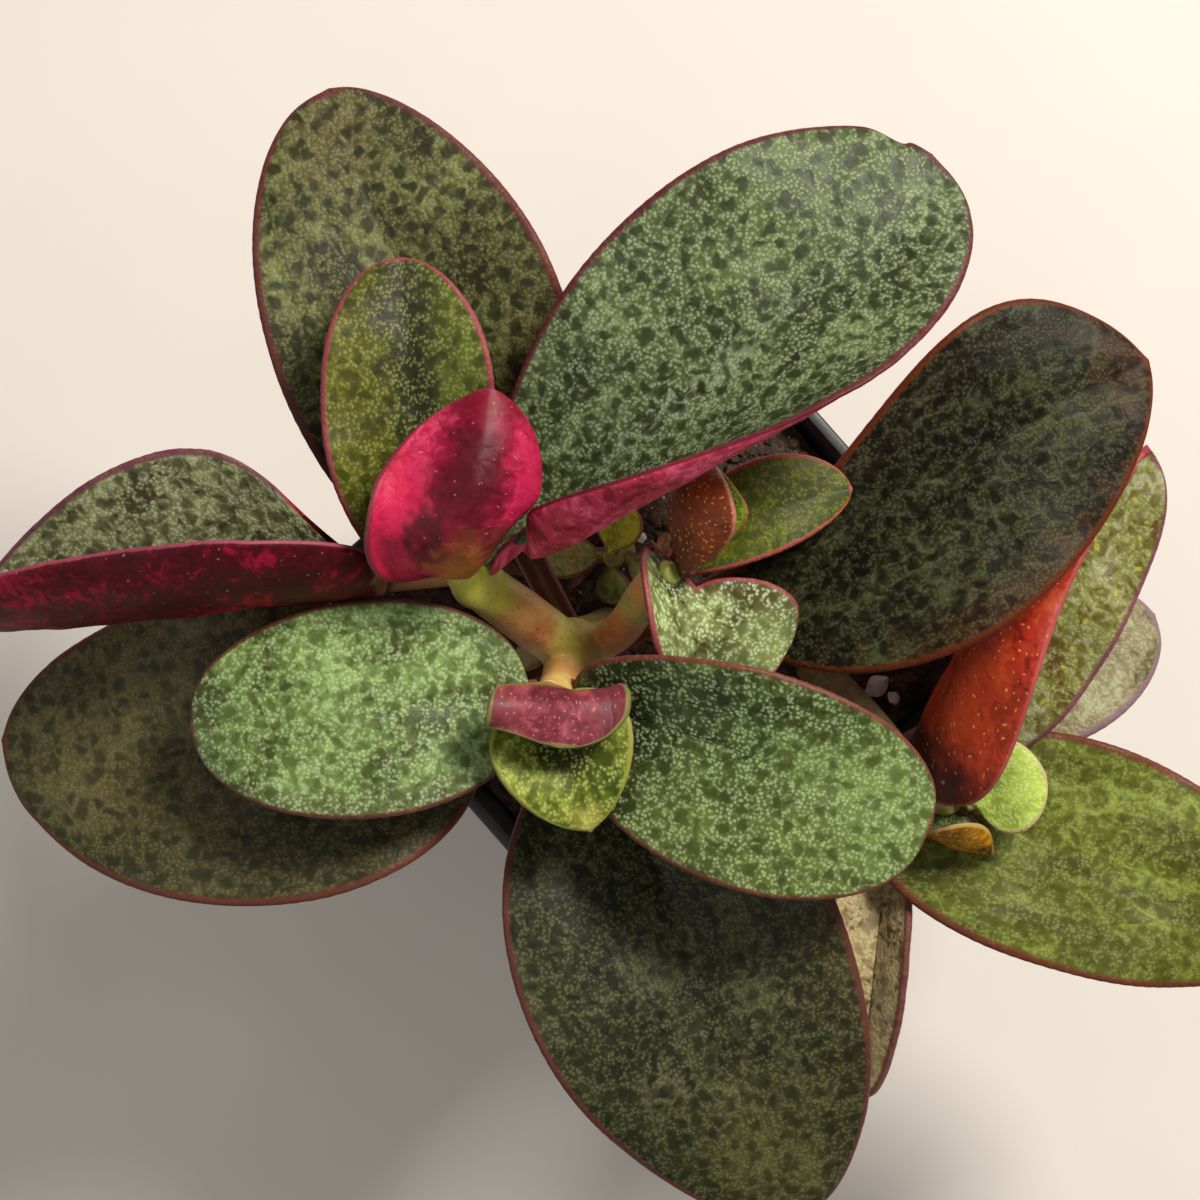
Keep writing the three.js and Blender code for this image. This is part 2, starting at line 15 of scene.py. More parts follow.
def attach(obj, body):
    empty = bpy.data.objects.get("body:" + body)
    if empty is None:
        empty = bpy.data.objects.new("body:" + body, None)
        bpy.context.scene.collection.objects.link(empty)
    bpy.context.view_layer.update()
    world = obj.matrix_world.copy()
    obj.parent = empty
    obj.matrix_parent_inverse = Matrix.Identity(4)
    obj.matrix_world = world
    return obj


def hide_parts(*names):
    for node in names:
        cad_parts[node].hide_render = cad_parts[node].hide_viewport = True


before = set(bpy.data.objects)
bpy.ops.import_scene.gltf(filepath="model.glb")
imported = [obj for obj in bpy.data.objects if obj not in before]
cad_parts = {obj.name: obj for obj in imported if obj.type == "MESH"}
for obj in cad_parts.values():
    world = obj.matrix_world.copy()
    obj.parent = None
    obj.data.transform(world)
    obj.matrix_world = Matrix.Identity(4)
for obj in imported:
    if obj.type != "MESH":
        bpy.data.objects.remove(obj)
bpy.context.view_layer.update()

MM = 0.001
PLANT_TURN = -41.4
TURN = Matrix.Rotation(radians(PLANT_TURN), 4, "Z")

# Camera: straight above the plant, at the distance that gives the photograph's perspective
CAMERA_PLACE = (-7.4, 3.25, 482)
CAMERA_ABOVE_RIM = 420
VIEW_WIDTH_AT_RIM = 155.84
SENSOR = 36

# Pot and soil, as in the model
POT_HEIGHT = 62
RIM_HALF = 34
RIM_BAND = 7
RIM_LIP = 1.6
RIM_STEP = 0.9
BASE_HALF = 23
BASE_BEVEL = 0.8
WALL = 1.2
FLOOR = 1.5
RIM_CORNER = 4
BASE_CORNER = 5
DRAIN_RADIUS = 3.5
DRAIN_PLACE = 13
SOIL_TOP = 57
SOIL_RELIEF = 0.7
SOIL_INSET = 1.5

# Shape values that a leaf has unless its own entry says otherwise, as in the model
LEAF_SHAPE = dict(
    rise=25, dip=-10, swing=0, roll=(0, 0), handle=0.38,
    stalk=0.12, stalk_half=1.8, stalk_thick=2.6, blunt=0.5,
    neck=(0, 0), width=(10, 10), widest=(0.55, 0.55), full=(0.5, 0.5), sweep=(0, 0),
    thick=2.2, margin=0.8, fold=(12, 4), curl=(10, 0), lip=(0, 0),
    wave=0, waves=3, phase=0, nick=None, strips=34, stations=110,
)

# What the four leaves of the deep shoot share
TINY = dict(stalk_half=1, stalk_thick=1.8, thick=1.4, strips=12, stations=36)

LEAVES = {
    "leaf_back_left": dict(
        base=(-11, -1, 82), tip=(-40, 64.5, 93), rise=15, dip=-5, swing=4, stalk=0.2,
        width=(18.8, 17.8), widest=(0.42, 0.47), full=(0.42, 0.56), fold=(25, 4), curl=(10, -4),
        wave=0.5),
    "leaf_dark_left": dict(
        base=(-12, -3.5, 78), tip=(-80.5, -14, 84), rise=30, dip=-20, swing=14, stalk=0.2,
        width=(20.5, 18), widest=(0.4, 0.5), full=(0.46, 0.5), fold=(20, 2), curl=(8, -6), wave=0.5),
    "leaf_dark_front": dict(
        base=(-10, -4.5, 81), tip=(17, -73.5, 80), rise=15, dip=-25, width=(18.8, 21.9),
        widest=(0.45, 0.42), full=(0.44, 0.6), fold=(20, 2), curl=(8, -8), wave=0.5),
    "leaf_dark_right": dict(
        base=(-6.5, -2.5, 71), tip=(58.2, 32, 93), rise=45, dip=-12, stalk=0.25, width=(14.6, 20.5),
        widest=(0.74, 0.43), full=(0.62, 0.6), fold=(25, 4), curl=(10, -4), wave=0.6),
    "withered_scrap": dict(
        base=(-13.5, -3.5, 84.5), tip=(-18, -4, 84), rise=10, dip=-20, stalk=0.15, stalk_half=0.7,
        stalk_thick=1.2, width=(1.6, 1.8), widest=(0.6, 0.6), thick=1, strips=10, stations=24),
    "leaf_lime_back": dict(
        base=(-25.2, 8.6, 98), tip=(-30.5, 43, 104.5), rise=20, swing=4, stalk=0,
        width=(12, 9.5), widest=(0.42, 0.6), full=(0.38, 0.55), fold=(20, 8), curl=(10, 5), wave=0.4),
    "leaf_cupped_crimson": dict(
        base=(-23.2, 7.1, 101.8), tip=(-20, 27, 113), heading=-97, rise=85, dip=200, handle=0.6,
        roll=(28, 0), stalk=0.08, stalk_half=1.6, width=(9.6, 12.3), widest=(0.6, 0.36),
        full=(0.42, 0.42), fold=(10, 10), curl=(45, 45), curl_right=(45, 50), lip_right=(-170, -60),
        wave=0.3),
    "leaf_folded_left": dict(
        base=(-24, 6.4, 96), tip=(-84, 0, 98), rise=4, dip=0, stalk=0.15, width=(20, 20),
        widest=(0.42, 0.4), full=(0.31, 0.8), sweep=(0, -7), fold=(70, 78), curl=(75, 70),
        fold_right=(30, 20), curl_right=(10, 0), wave=0.7, waves=2.5, phase=0.1),
    "leaf_large_back_right": dict(
        base=(-22, 6.5, 97), tip=(31.2, 55, 104), rise=25, dip=-14, swing=-3, stalk=0.08,
        width=(19.3, 20), widest=(0.54, 0.42), full=(0.48, 0.36), sweep=(0, -6), nick=(0, 0.983, 0.35),
        fold=(8, 2), curl=(6, -4), fold_right=(36, 0), curl_right=(132, 22), lip_right=(50, -30),
        wave=0.6),
    "leaf_light_left": dict(
        base=(-15, -8, 95), tip=(-55.5, -12, 99), rise=20, dip=-17, stalk=0.03, width=(12.5, 13.2),
        widest=(0.48, 0.48), full=(0.4, 0.4), fold=(8, 3), curl=(5, 0), fold_right=(5, 2),
        curl_right=(0, 0), wave=0.3),
    "leaf_light_front_right": dict(
        base=(-10.5, -8, 94.5), tip=(31.5, -22.5, 100.5), rise=35, dip=-20, stalk=0.03,
        width=(11, 15.3), widest=(0.52, 0.52), full=(0.4, 0.36), sweep=(1, 0), fold=(34, 4),
        curl=(12, 0), fold_right=(-5, 4), wave=0.3),
    "leaf_young_front": dict(
        base=(-13, -9.2, 99.1), tip=(-8.6, -23.6, 101.2), rise=20, dip=-30, stalk=0, width=(8.5, 8.9),
        widest=(0.34, 0.34), full=(0.65, 0.62), sweep=(1, 1), thick=1.8, fold=(15, 5), strips=24,
        stations=60),
    "leaf_young_upright": dict(
        base=(-13.7, -7.6, 102.2), tip=(-12.2, -13.9, 107.5), heading=82, rise=84, dip=175, handle=0.6,
        stalk=0.05, width=(8.6, 8.8), widest=(0.52, 0.52), full=(0.6, 0.6), thick=1.6, margin=1.2,
        fold=(5, 5), curl=(3, 3), lip=(-25, -25), strips=24, stations=60),
    "leaf_mint_right": dict(
        base=(-0.8, 8.2, 98.4), tip=(12.7, -5.5, 94), rise=4, dip=-35, stalk=0.03, stalk_half=1.2,
        neck=(0.3, 0), width=(8.4, 9.2), widest=(0.6, 0.42), full=(0.36, 0.36), sweep=(2, 2),
        fold=(8, 0), curl=(5, -5), fold_right=(45, -25), curl_right=(70, -30), wave=0.4, strips=24,
        stations=70),
    "leaf_small_right": dict(
        base=(1.3, 6.9, 95), tip=(22.5, 16.5, 95), rise=20, dip=-20, swing=14, stalk=0.06,
        width=(6.5, 4.8), widest=(0.52, 0.52), thick=1.8, fold=(12, 5), strips=20, stations=60),
    "leaf_small_cupped": dict(
        base=(3.2, 6.5, 100.6), tip=(3.4, 21, 102), rise=15, dip=-5, swing=30, stalk=0.04,
        stalk_half=1.2, width=(11, 9.3), widest=(0.5, 0.5), full=(0.42, 0.42), thick=1.6,
        fold=(100, 100), curl=(70, 60), fold_right=(20, 20), curl_right=(10, 0), strips=20, stations=60),
    "leaf_side_back_low": dict(
        base=(31, -16, 68.5), tip=(63.4, 1.3, 67), rise=0, dip=-15, stalk=0.15, width=(9, 9.6),
        widest=(0.5, 0.55), full=(0.45, 0.42), strips=22, stations=60),
    "leaf_side_front": dict(
        base=(30.5, -18, 67.5), tip=(26.5, -61, 63), rise=5, dip=-20, stalk=0.1, width=(6, 10),
        widest=(0.5, 0.5), full=(0.45, 0.45), fold=(60, 50), fold_right=(10, 0), strips=22, stations=80),
    "leaf_side_right": dict(
        base=(33.5, -22, 71.9), tip=(80.5, -37.5, 70), rise=5, dip=-12, stalk=0, width=(14, 15.3),
        widest=(0.42, 0.4), full=(0.45, 0.32), sweep=(0, 5), fold=(0, 3), curl=(5, -5),
        fold_right=(10, 3), wave=0.6),
    "leaf_side_folded": dict(
        base=(31.8, -17, 74.5), tip=(60.5, 21.5, 84), rise=20, dip=5, swing=18, stalk=0.02,
        width=(16.5, 15.4), widest=(0.22, 0.42), full=(0.95, 0.42), sweep=(4, 0), fold=(95, 90),
        curl=(75, 60), fold_right=(8, 0), curl_right=(10, 0), wave=0.5),
    "leaf_side_young": dict(
        base=(38.2, -21.5, 78.2), tip=(47.5, -18.2, 82.3), rise=20, stalk=0.12,
        width=(6.6, 5.9), widest=(0.5, 0.5), thick=1.4, strips=18, stations=44),
    "leaf_side_cupped": dict(
        base=(33.3, -24.6, 75), tip=(41.8, -28, 77.5), rise=10, dip=0, swing=-22, stalk=0.04,
        stalk_half=1.2, width=(4, 7.2), widest=(0.5, 0.55), thick=1.5, fold=(10, 5),
        curl=(10, 10), fold_right=(60, 110), curl_right=(20, 60), strips=18, stations=44),
    "leaf_deep_left": dict(base=(-7, 9, 65.5), tip=(-15.5, 9, 66), rise=20, width=(3, 3), **TINY),
    "leaf_deep_front": dict(
        base=(-6, 7.6, 65), tip=(-5.5, 2.8, 64), rise=10, dip=-20, width=(2.2, 2.2), **TINY),
    "leaf_deep_back": dict(
        base=(-6, 9.5, 68.5), tip=(-4, 15.5, 71), rise=30, width=(3, 3), **TINY),
    "leaf_deep_right": dict(
        base=(-4.1, 8.7, 64.5), tip=(0.8, 5.6, 64), rise=10, width=(2.4, 2.4), **TINY),
}

# Tapered lengths of each stem, as in the model: points of the axis and the radius at each
STEMS = {
    "stem_main": [
        ([(-5.5, -1, 49), (-6.5, -1, 58), (-8, -1.5, 68), (-10, -2, 78), (-11, -3, 86)],
         [3, 3.3, 3.1, 3, 3.1]),
        ([(-11, -3, 86), (-17, 1.5, 91), (-22.5, 5.7, 96.5), (-24, 7.3, 100.4)], [3.1, 3.2, 2.9, 2]),
        ([(-11, -3.5, 85), (-12, -6.5, 90), (-13, -8, 97), (-13.6, -7.6, 101.4)], [3, 2.6, 2.2, 1.5]),
        ([(-10, -3, 82), (-5, -0.5, 87), (-2, 4, 94), (-0.5, 6.2, 98.5), (1.4, 6.4, 101)],
         [2.4, 2.3, 2.2, 1.8, 1.3]),
    ],
    "stem_side": [
        ([(17, -1.5, 49), (21, -6, 56), (26.5, -12, 65), (31.5, -18, 70), (35, -21.5, 75),
          (36.7, -21.9, 78)], [2.8, 2.8, 2.6, 2.4, 2.2, 1.7]),
    ],
    "stem_deep": [
        ([(-3.2, 10.5, 50), (-4, 10, 56), (-5, 9, 62), (-6, 8.6, 68)], [1.6, 1.6, 1.5, 1.2]),
    ],
}

# Swollen joints: stem, place and radius
NODES = [
    ("stem_main", (-10.8, -2.9, 84.5), 4.1),
    ("stem_main", (-22, 5.4, 96), 3.4),
    ("stem_side", (31.6, -18, 70.2), 2.8),
]


def mix(a, b, t):
    return a + (b - a) * t


def clamp(value, low, high):
    return max(low, min(high, value))


def tint(code):
    """Linear colour of a hexadecimal display colour."""
    parts = [(code >> shift & 255) / 255 for shift in (16, 8, 0)]
    return (*[p / 12.92 if p <= 0.04045 else ((p + 0.055) / 1.055) ** 2.4 for p in parts], 1)


def plant_place(point):
    """Metres in the model's frame, from millimetres in the plant's."""
    return TURN @ (Vector(point) * MM)


# Leaf forms

def direction(azimuth, pitch):
    a = radians(azimuth)
    p = radians(pitch)
    return Vector((cos(p) * cos(a), cos(p) * sin(a), sin(p)))


class Spine:
    """The midrib as a cubic curve, measured along its length."""

    SAMPLES = 200

    def __init__(self, leaf):
        base = Vector(leaf["base"])
        tip = Vector(leaf["tip"])
        chord = tip - base
        handle = chord.length * leaf["handle"]
        self.heading = leaf.get("heading", degrees(atan2(chord.y, chord.x)))
        first = base + direction(self.heading + leaf["swing"], leaf["rise"]) * handle
        second = tip - direction(self.heading - leaf["swing"], leaf["dip"]) * handle
        self.points = (base, first, second, tip)
        self.reached = [0.0]
        last = base
        for k in range(1, self.SAMPLES + 1):
            point = self.at(k / self.SAMPLES)
            self.reached.append(self.reached[-1] + (point - last).length)
            last = point
        self.length = self.reached[-1]

    def at(self, u):
        a, b, c, d = self.points
        v = 1 - u
        return a * v ** 3 + b * (3 * u * v * v) + c * (3 * u * u * v) + d * u ** 3

    def slope(self, u):
        a, b, c, d = self.points
        v = 1 - u
        return ((b - a) * (3 * v * v) + (c - b) * (6 * u * v) + (d - c) * (3 * u * u)).normalized()

    def parameter(self, t):
        wanted = t * self.length
        k = 0
        while k < self.SAMPLES - 1 and self.reached[k + 1] < wanted:
            k += 1
        part = (wanted - self.reached[k]) / (self.reached[k + 1] - self.reached[k])
        return clamp((k + part) / self.SAMPLES, 0, 1)


def leaf_frame(leaf, spine, t):
    u = spine.parameter(t)
    along = spine.slope(u)
    plan = radians(spine.heading + leaf["swing"] * (1 - 2 * t))
    left = Vector((-sin(plan), cos(plan), 0))
    left = (left - along * along.dot(left)).normalized()
    normal = along.cross(left)
    roll = radians(mix(*leaf["roll"], t))
    across = left * cos(roll) + normal * sin(roll)
    up = normal * cos(roll) - left * sin(roll)
    return spine.at(u), along, across, up


# How a half is bent and thinned from midrib to edge, how soon past the stalk it has its full
# form, how far a nick in the tip reaches, and how much closer the stations stand at the tip
LIP_POWER = 4
THIN_POWER = 2.2
FULL_FORM = 4
NICK_REACH = 0.012
TIP_CLOSENESS = 0.75


def half_width(leaf, side, t, s):
    skew = log(0.5) / log(leaf["widest"][side])
    neck = leaf["neck"][side]
    part = (s - neck) / (1 - neck)
    blade = leaf["width"][side] * sin(pi * part ** skew) ** leaf["full"][side] if 0 < part < 1 else 0
    if leaf["nick"] and leaf["nick"][0] == side:
        blade *= 1 - leaf["nick"][2] * exp(-((t - leaf["nick"][1]) / NICK_REACH) ** 2)
    return max(hypot(leaf["stalk_half"] * (1 - s * s), blade), leaf["blunt"])


# How the dressed blade differs from the model's: a round margin and a gently uneven surface
ROUND_FROM = 0.955
UNEVEN_SIZE = 6.5
UNEVEN_HEIGHT = 0.3
CRENATE_LENGTH = 1.5
CRENATE_DEPTH = 0.12


def half_value(leaf, side, name, t):
    """A shape value at station t. The right half's own value counts where the leaf has one."""
    if side == 1:
        name = name + "_right" if name + "_right" in leaf else name
    return mix(*leaf[name], t)


def half_section(leaf, basis, side, t, spine, seed):
    """Upper and lower points of one half at station t, with distances along, across and to the edge."""
    centre, along, across, up = basis
    s = clamp((t - leaf["stalk"]) / (1 - leaf["stalk"]), 0, 1)
    sign = 1 if side == 0 else -1
    half = half_width(leaf, side, t, s)
    half -= CRENATE_DEPTH * s * (1 - s) * sin(2 * pi * t * spine.length / CRENATE_LENGTH + seed)
    fold, curl, lip = [half_value(leaf, side, name, t) for name in ("fold", "curl", "lip")]
    body = mix(leaf["stalk_thick"], leaf["thick"], min(1, FULL_FORM * s))
    ripple = sin(2 * pi * (leaf["waves"] * t + leaf["phase"] + 0.4 * side)) * min(1, 3 * s)
    section = []
    out = lift = before = 0.0
    for i in range(leaf["strips"] + 1):
        q = 0.5 * sin(pi / 2 * i / leaf["strips"]) + 0.5 * i / leaf["strips"]
        middle = (before + q) / 2
        tilt = radians(fold + curl * middle + lip * middle ** LIP_POWER)
        out += cos(tilt) * half * (q - before)
        lift += sin(tilt) * half * (q - before)
        before = q
        angle = radians(fold + curl * q + lip * q ** LIP_POWER) * min(1, q * 12)
        normal = up * cos(angle) - across * (sign * sin(angle))
        point = centre + across * (sign * out) + up * (lift + leaf["wave"] * q * q * ripple)
        point -= along * (leaf["sweep"][side] * q * q * (1 - s) ** 3)
        where = Vector((sign * q * half, t * spine.length, seed * 7))
        uneven = noise.noise(where / UNEVEN_SIZE) + 0.4 * noise.noise(where / (UNEVEN_SIZE * 0.35))
        point += normal * (UNEVEN_HEIGHT * uneven * min(1, FULL_FORM * s) * min(1, half / 8))
        depth = mix(body, leaf["margin"], q ** THIN_POWER) / 2
        if q > ROUND_FROM:
            depth *= sqrt(max(0.02, 1 - ((q - ROUND_FROM) / (1 - ROUND_FROM)) ** 2))
        edge = min((1 - q) * half, (1 - t) * spine.length)
        section.append((point + normal * depth, point - normal * depth, sign * q, sign * q * half, edge))
    return section


# Millimetres of leaf in one unit of its grain map
GRAIN_SCALE = 100


def leaf_mesh(name, leaf, seed):
    """Closed blade. Its maps give the grain in millimetres and the place across and along."""
    spine = Spine(leaf)
    rows = []
    for j in range(leaf["stations"] + 1):
        even = j / leaf["stations"]
        t = mix(even, sin(pi / 2 * even), TIP_CLOSENESS)
        basis = leaf_frame(leaf, spine, t)
        left = half_section(leaf, basis, 0, t, spine, seed)[::-1]
        right = half_section(leaf, basis, 1, t, spine, seed)[1:]
        rows.append([(*entry, t) for entry in left + right])
    count = len(rows[0])
    entries = [entry for row in rows for entry in row]
    lower = len(entries)
    points = [plant_place(e[0]) for e in entries] + [plant_place(e[1]) for e in entries]
    faces = []
    looks = []
    last = len(rows) - 1
    for j in range(last):
        for i in range(count - 1):
            a = j * count + i
            quad = (a, a + 1, a + count + 1, a + count)
            faces += [quad, tuple(lower + k for k in reversed(quad))]
            looks += [0, 1]
        a, b = j * count, j * count + count - 1
        faces.append((a, a + count, lower + a + count, lower + a))
        faces.append((lower + b, lower + b + count, b + count, b))
        looks += [1, 1]
    for i in range(count - 1):
        a, b = i, last * count + i
        faces += [(lower + a, lower + a + 1, a + 1, a), (b, b + 1, lower + b + 1, lower + b)]
        looks += [0, 0]
    mesh = bpy.data.meshes.new(name)
    mesh.from_pydata(points, [], faces)
    mesh.polygons.foreach_set("material_index", looks)
    mesh.polygons.foreach_set("use_smooth", [True] * len(faces))
    double = entries + entries
    grain = mesh.uv_layers.new(name="grain")
    place = mesh.uv_layers.new(name="place")
    edge = mesh.attributes.new("edge", "FLOAT", "POINT")
    edge.data.foreach_set("value", [e[4] for e in double])
    for loop in mesh.loops:
        _, _, q, out, _, t = double[loop.vertex_index]
        grain.data[loop.index].uv = (0.5 + out / GRAIN_SCALE, t * spine.length / GRAIN_SCALE)
        place.data[loop.index].uv = (0.5 + q / 2, t)
    return mesh


# Material building

class Graph:
    """A material's node tree, built by short calls that take and give sockets."""

    def __init__(self, name, flat=False):
        self.room = "2D" if flat else "3D"
        self.material = bpy.data.materials.new(name)
        self.material.use_nodes = True
        self.tree = self.material.node_tree
        self.shader = self.tree.nodes["Principled BSDF"]

    def feed(self, socket, value):
        if isinstance(value, bpy.types.NodeSocket):
            self.tree.links.new(value, socket)
        else:
            socket.default_value = value

    def node(self, kind, inputs=None, **settings):
        made = self.tree.nodes.new("ShaderNode" + kind)
        for key, value in settings.items():
            setattr(made, key, value)
        for key, value in (inputs or {}).items():
            self.feed(made.inputs[key], value)
        return made

    def maths(self, operation, a, b):
        return self.node("Math", {0: a, 1: b}, operation=operation).outputs[0]

    def times(self, a, b):
        return self.maths("MULTIPLY", a, b)

    def soft(self, value, low, high):
        """Smooth step from 0 at low to 1 at high, and the other way round if low is the larger."""
        inputs = {"Value": value, "From Min": low, "From Max": high}
        return self.node("MapRange", inputs, interpolation_type="SMOOTHSTEP").outputs[0]

    def cover(self, amount, under, over):
        return self.node("Mix", {0: amount, 6: under, 7: over}, data_type="RGBA").outputs[2]

    def paint(self, colour, mask, amount, code):
        """The colour, with another over it at this strength where the mask is."""
        return self.cover(self.times(mask, amount), colour, tint(code))

    def rising(self, value, factor, start):
        return self.maths("ADD", self.times(value, factor), start)

    def millimetres(self):
        """Place on the piece in millimetres."""
        return self.scaled(self.node("TexCoord").outputs["Object"], (1000, 1000, 1000))

    def noise(self, vector, size, detail=3.0, rough=0.55):
        inputs = {"Vector": vector, "Scale": 1 / size, "Detail": detail, "Roughness": rough}
        return self.node("TexNoise", inputs, noise_dimensions=self.room)

    def cells(self, vector, size, feature="F1"):
        inputs = {"Vector": vector, "Scale": 1 / size}
        return self.node("TexVoronoi", inputs, feature=feature, voronoi_dimensions=self.room)

    def scaled(self, vector, factors):
        return self.node("VectorMath", {0: vector, 1: factors}, operation="MULTIPLY").outputs[0]

    def moved(self, vector, shift):
        return self.node("VectorMath", {0: vector, 1: shift}, operation="ADD").outputs[0]

    def shaken(self, vector, size, amount):
        """The vector, moved about by noise of this size by about this amount."""
        drift = self.moved(self.noise(vector, size).outputs["Color"], (-0.5, -0.5, -0.5))
        return self.moved(vector, self.scaled(drift, (2 * amount,) * 3))

    def bump(self, height, distance, strength):
        inputs = {"Height": height, "Distance": distance * MM, "Strength": strength}
        return self.node("Bump", inputs).outputs[0]

    def finish(self, colour, roughness, normal):
        self.feed(self.shader.inputs["Base Color"], colour)
        self.feed(self.shader.inputs["Roughness"], roughness)
        self.feed(self.shader.inputs["Normal"], normal)
        return self.material


# How a leaf's face is marked, in millimetres: broad and fine tones, pale points under the skin,
# dark spots, and the size and the reach of the drift that makes the pattern ragged
BROAD = 6.0
FINE = 1.1
POINTS = 0.5
SPOTS = 2.4
DRIFT_SIZE = 2.6
DRIFT = 1.5
PATCH_DRIFT = (0.2, 0.12, 0)
SEED_STEP = (17.3, 9.1)
STRETCH = 0.7
FINE_SHARE = 0.4
PATCH_SHADE = 0.72
VEIN_STRETCH = 0.3
SPOT_RAGGED = 0.35
POINT_RELIEF = 0.4
RIM_STRENGTH = 0.9
SKIN_ROUGH = 0.36
SKIN_GLOSS = 0.2
SKIN_BUMP = (0.13, 0.6)


def leaf_face(name, look, seed):
    """Material of one leaf face.

    A look has a ground of a shaded, a middle and a light colour, and a rim of a width in
    millimetres and a colour. It may have patches, which are broad soft areas given as place
    across (-1 right edge, 1 left edge), place along (0 base, 1 tip), reach across and along,
    colour and strength, pale points and dark spots as strength and colour, veins as spacing in
    millimetres, strength and colour, dots as spacing, size, strength and colour, and a stalk
    colour with how far it reaches. Stretch, rough and gloss replace the usual values.
    """
    g = Graph(name, flat=True)
    grain = g.scaled(g.node("UVMap", uv_map="grain").outputs[0], (GRAIN_SCALE, GRAIN_SCALE, 0))
    grain = g.moved(grain, (SEED_STEP[0] * seed, SEED_STEP[1] * seed, 0))
    place = g.node("UVMap", uv_map="place").outputs[0]
    drift = g.moved(g.noise(grain, DRIFT_SIZE, 1.0).outputs["Color"], (-0.5, -0.5, 0))
    loose = g.moved(grain, g.scaled(drift, (DRIFT, DRIFT, 0)))
    ragged = g.moved(place, g.scaled(drift, PATCH_DRIFT))
    broad = g.noise(g.scaled(loose, (1, look.get("stretch", STRETCH), 1)), BROAD, 2.0).outputs[0]
    fine = g.noise(loose, FINE, 1.5, 0.6).outputs[0]
    tone = g.times(broad, 1 - FINE_SHARE)
    tone = g.maths("ADD", tone, g.times(fine, FINE_SHARE))
    dark, middle, light = [tint(code) for code in look["ground"]]
    colour = g.cover(g.soft(tone, 0.34, 0.5), dark, middle)
    colour = g.cover(g.soft(tone, 0.5, 0.68), colour, light)
    # Patches are mostly the leaf's own colour areas; on some leaves they are painted shade darkening the
    # base, and on the cupped crimson leaf painted light and shade on its slopes
    for across, along, reach_across, reach_along, code, amount in look.get("patches", ()):
        offset = g.moved(ragged, (-0.5 - across / 2, -along, 0))
        offset = g.scaled(offset, (2 / reach_across, 1 / reach_along, 0))
        distance = g.node("VectorMath", {0: offset}, operation="LENGTH").outputs["Value"]
        mask = g.times(g.soft(distance, 1.2, 0.3), amount)
        shaded = tuple(PATCH_SHADE * part for part in tint(code)[:3]) + (1,)
        patch = g.cover(g.soft(tone, 0.34, 0.6), shaded, tint(code))
        colour = g.cover(mask, colour, patch)
    if "veins" in look:
        size, amount, code = look["veins"]
        narrow = g.scaled(loose, (1, VEIN_STRETCH, 1))
        lines = g.cells(narrow, size, "DISTANCE_TO_EDGE").outputs["Distance"]
        lines = g.times(g.soft(lines, 0.12, 0.0), g.soft(broad, 0.35, 0.6))
        colour = g.paint(colour, lines, amount, code)
    spotted = 0.0
    if "spots" in look:
        reach = g.cells(loose, SPOTS).outputs["Distance"]
        reach = g.maths("ADD", reach, g.times(fine, SPOT_RAGGED))
        spotted = g.soft(reach, 0.6, 0.32)
        colour = g.paint(colour, spotted, *look["spots"])
    relief = fine
    if "points" in look:
        cells = g.cells(grain, POINTS)
        chance = g.node("SeparateColor", {0: cells.outputs["Color"]}).outputs[0]
        marks = g.soft(cells.outputs["Distance"], 0.55, 0.2)
        marks = g.times(marks, g.soft(chance, -1.2, 1.0))
        marks = g.times(marks, g.soft(fine, 0.28, 0.55))
        marks = g.times(marks, g.maths("SUBTRACT", 1.0, spotted))
        colour = g.paint(colour, marks, *look["points"])
        relief = g.maths("ADD", fine, g.times(marks, POINT_RELIEF))
    if "dots" in look:
        size, width, amount, code = look["dots"]
        cells = g.cells(loose, size)
        chance = g.node("SeparateColor", {0: cells.outputs["Color"]}).outputs[1]
        marks = g.soft(cells.outputs["Distance"], 1.4 * width / size, 0.6 * width / size)
        marks = g.times(marks, g.soft(chance, 0.15, 0.5))
        colour = g.paint(colour, marks, amount, code)
    if "stalk" in look:
        reach, code = look["stalk"]
        along = g.node("SeparateXYZ", {0: ragged}).outputs[1]
        colour = g.cover(g.soft(along, reach * 1.3, reach * 0.7), colour, tint(code))
    width, code = look["rim"]
    edge = g.node("Attribute", attribute_name="edge").outputs["Fac"]
    edge = g.maths("SUBTRACT", edge, g.times(fine, width * 0.5))
    colour = g.paint(colour, g.soft(edge, width * 1.1, width * 0.4), RIM_STRENGTH, code)
    g.shader.inputs["Specular IOR Level"].default_value = look.get("gloss", SKIN_GLOSS)
    roughness = g.rising(fine, 0.25, look.get("rough", SKIN_ROUGH))
    return g.finish(colour, roughness, g.bump(relief, *SKIN_BUMP))


def link_object(name, data):
    made = bpy.data.objects.new(name, data)
    bpy.context.collection.objects.link(made)
    return made


def add_leaf(name, entry, upper, under, slot, seed):
    leaf = {**LEAF_SHAPE, **entry}
    mesh = leaf_mesh(name + "_blade", leaf, seed)
    mesh.materials.append(upper)
    mesh.materials.append(under)
    own_piece(link_object(name + "_blade", mesh), slot, name)


# Stems

def stem_tube(points, radii, sides=28, steps=10):
    """Rings of a tapered tube round a smooth curve through the points."""
    spans = len(points) - 1
    path = [Vector(p) for p in points]
    path = [2 * path[0] - path[1], *path, 2 * path[-1] - path[-2]]
    rings = []
    for k in range(spans * steps + 1):
        t = k / steps
        i = min(int(t), spans - 1)
        u = t - i
        a, b, c, d = path[i:i + 4]
        square = 2 * a - 5 * b + 4 * c - d
        cube = 3 * b - a - 3 * c + d
        centre = 0.5 * (2 * b + (c - a) * u + square * u ** 2 + cube * u ** 3)
        tangent = (c - a + 2 * square * u + 3 * cube * u * u).normalized()
        across = Vector((0, 1, 0)).cross(tangent).normalized()
        up = tangent.cross(across)
        radius = mix(radii[i], radii[i + 1], u)
        turns = [2 * pi * s / sides for s in range(sides)]
        rings.append([centre + across * (radius * cos(turn)) + up * (radius * sin(turn))
                      for turn in turns])
    return rings


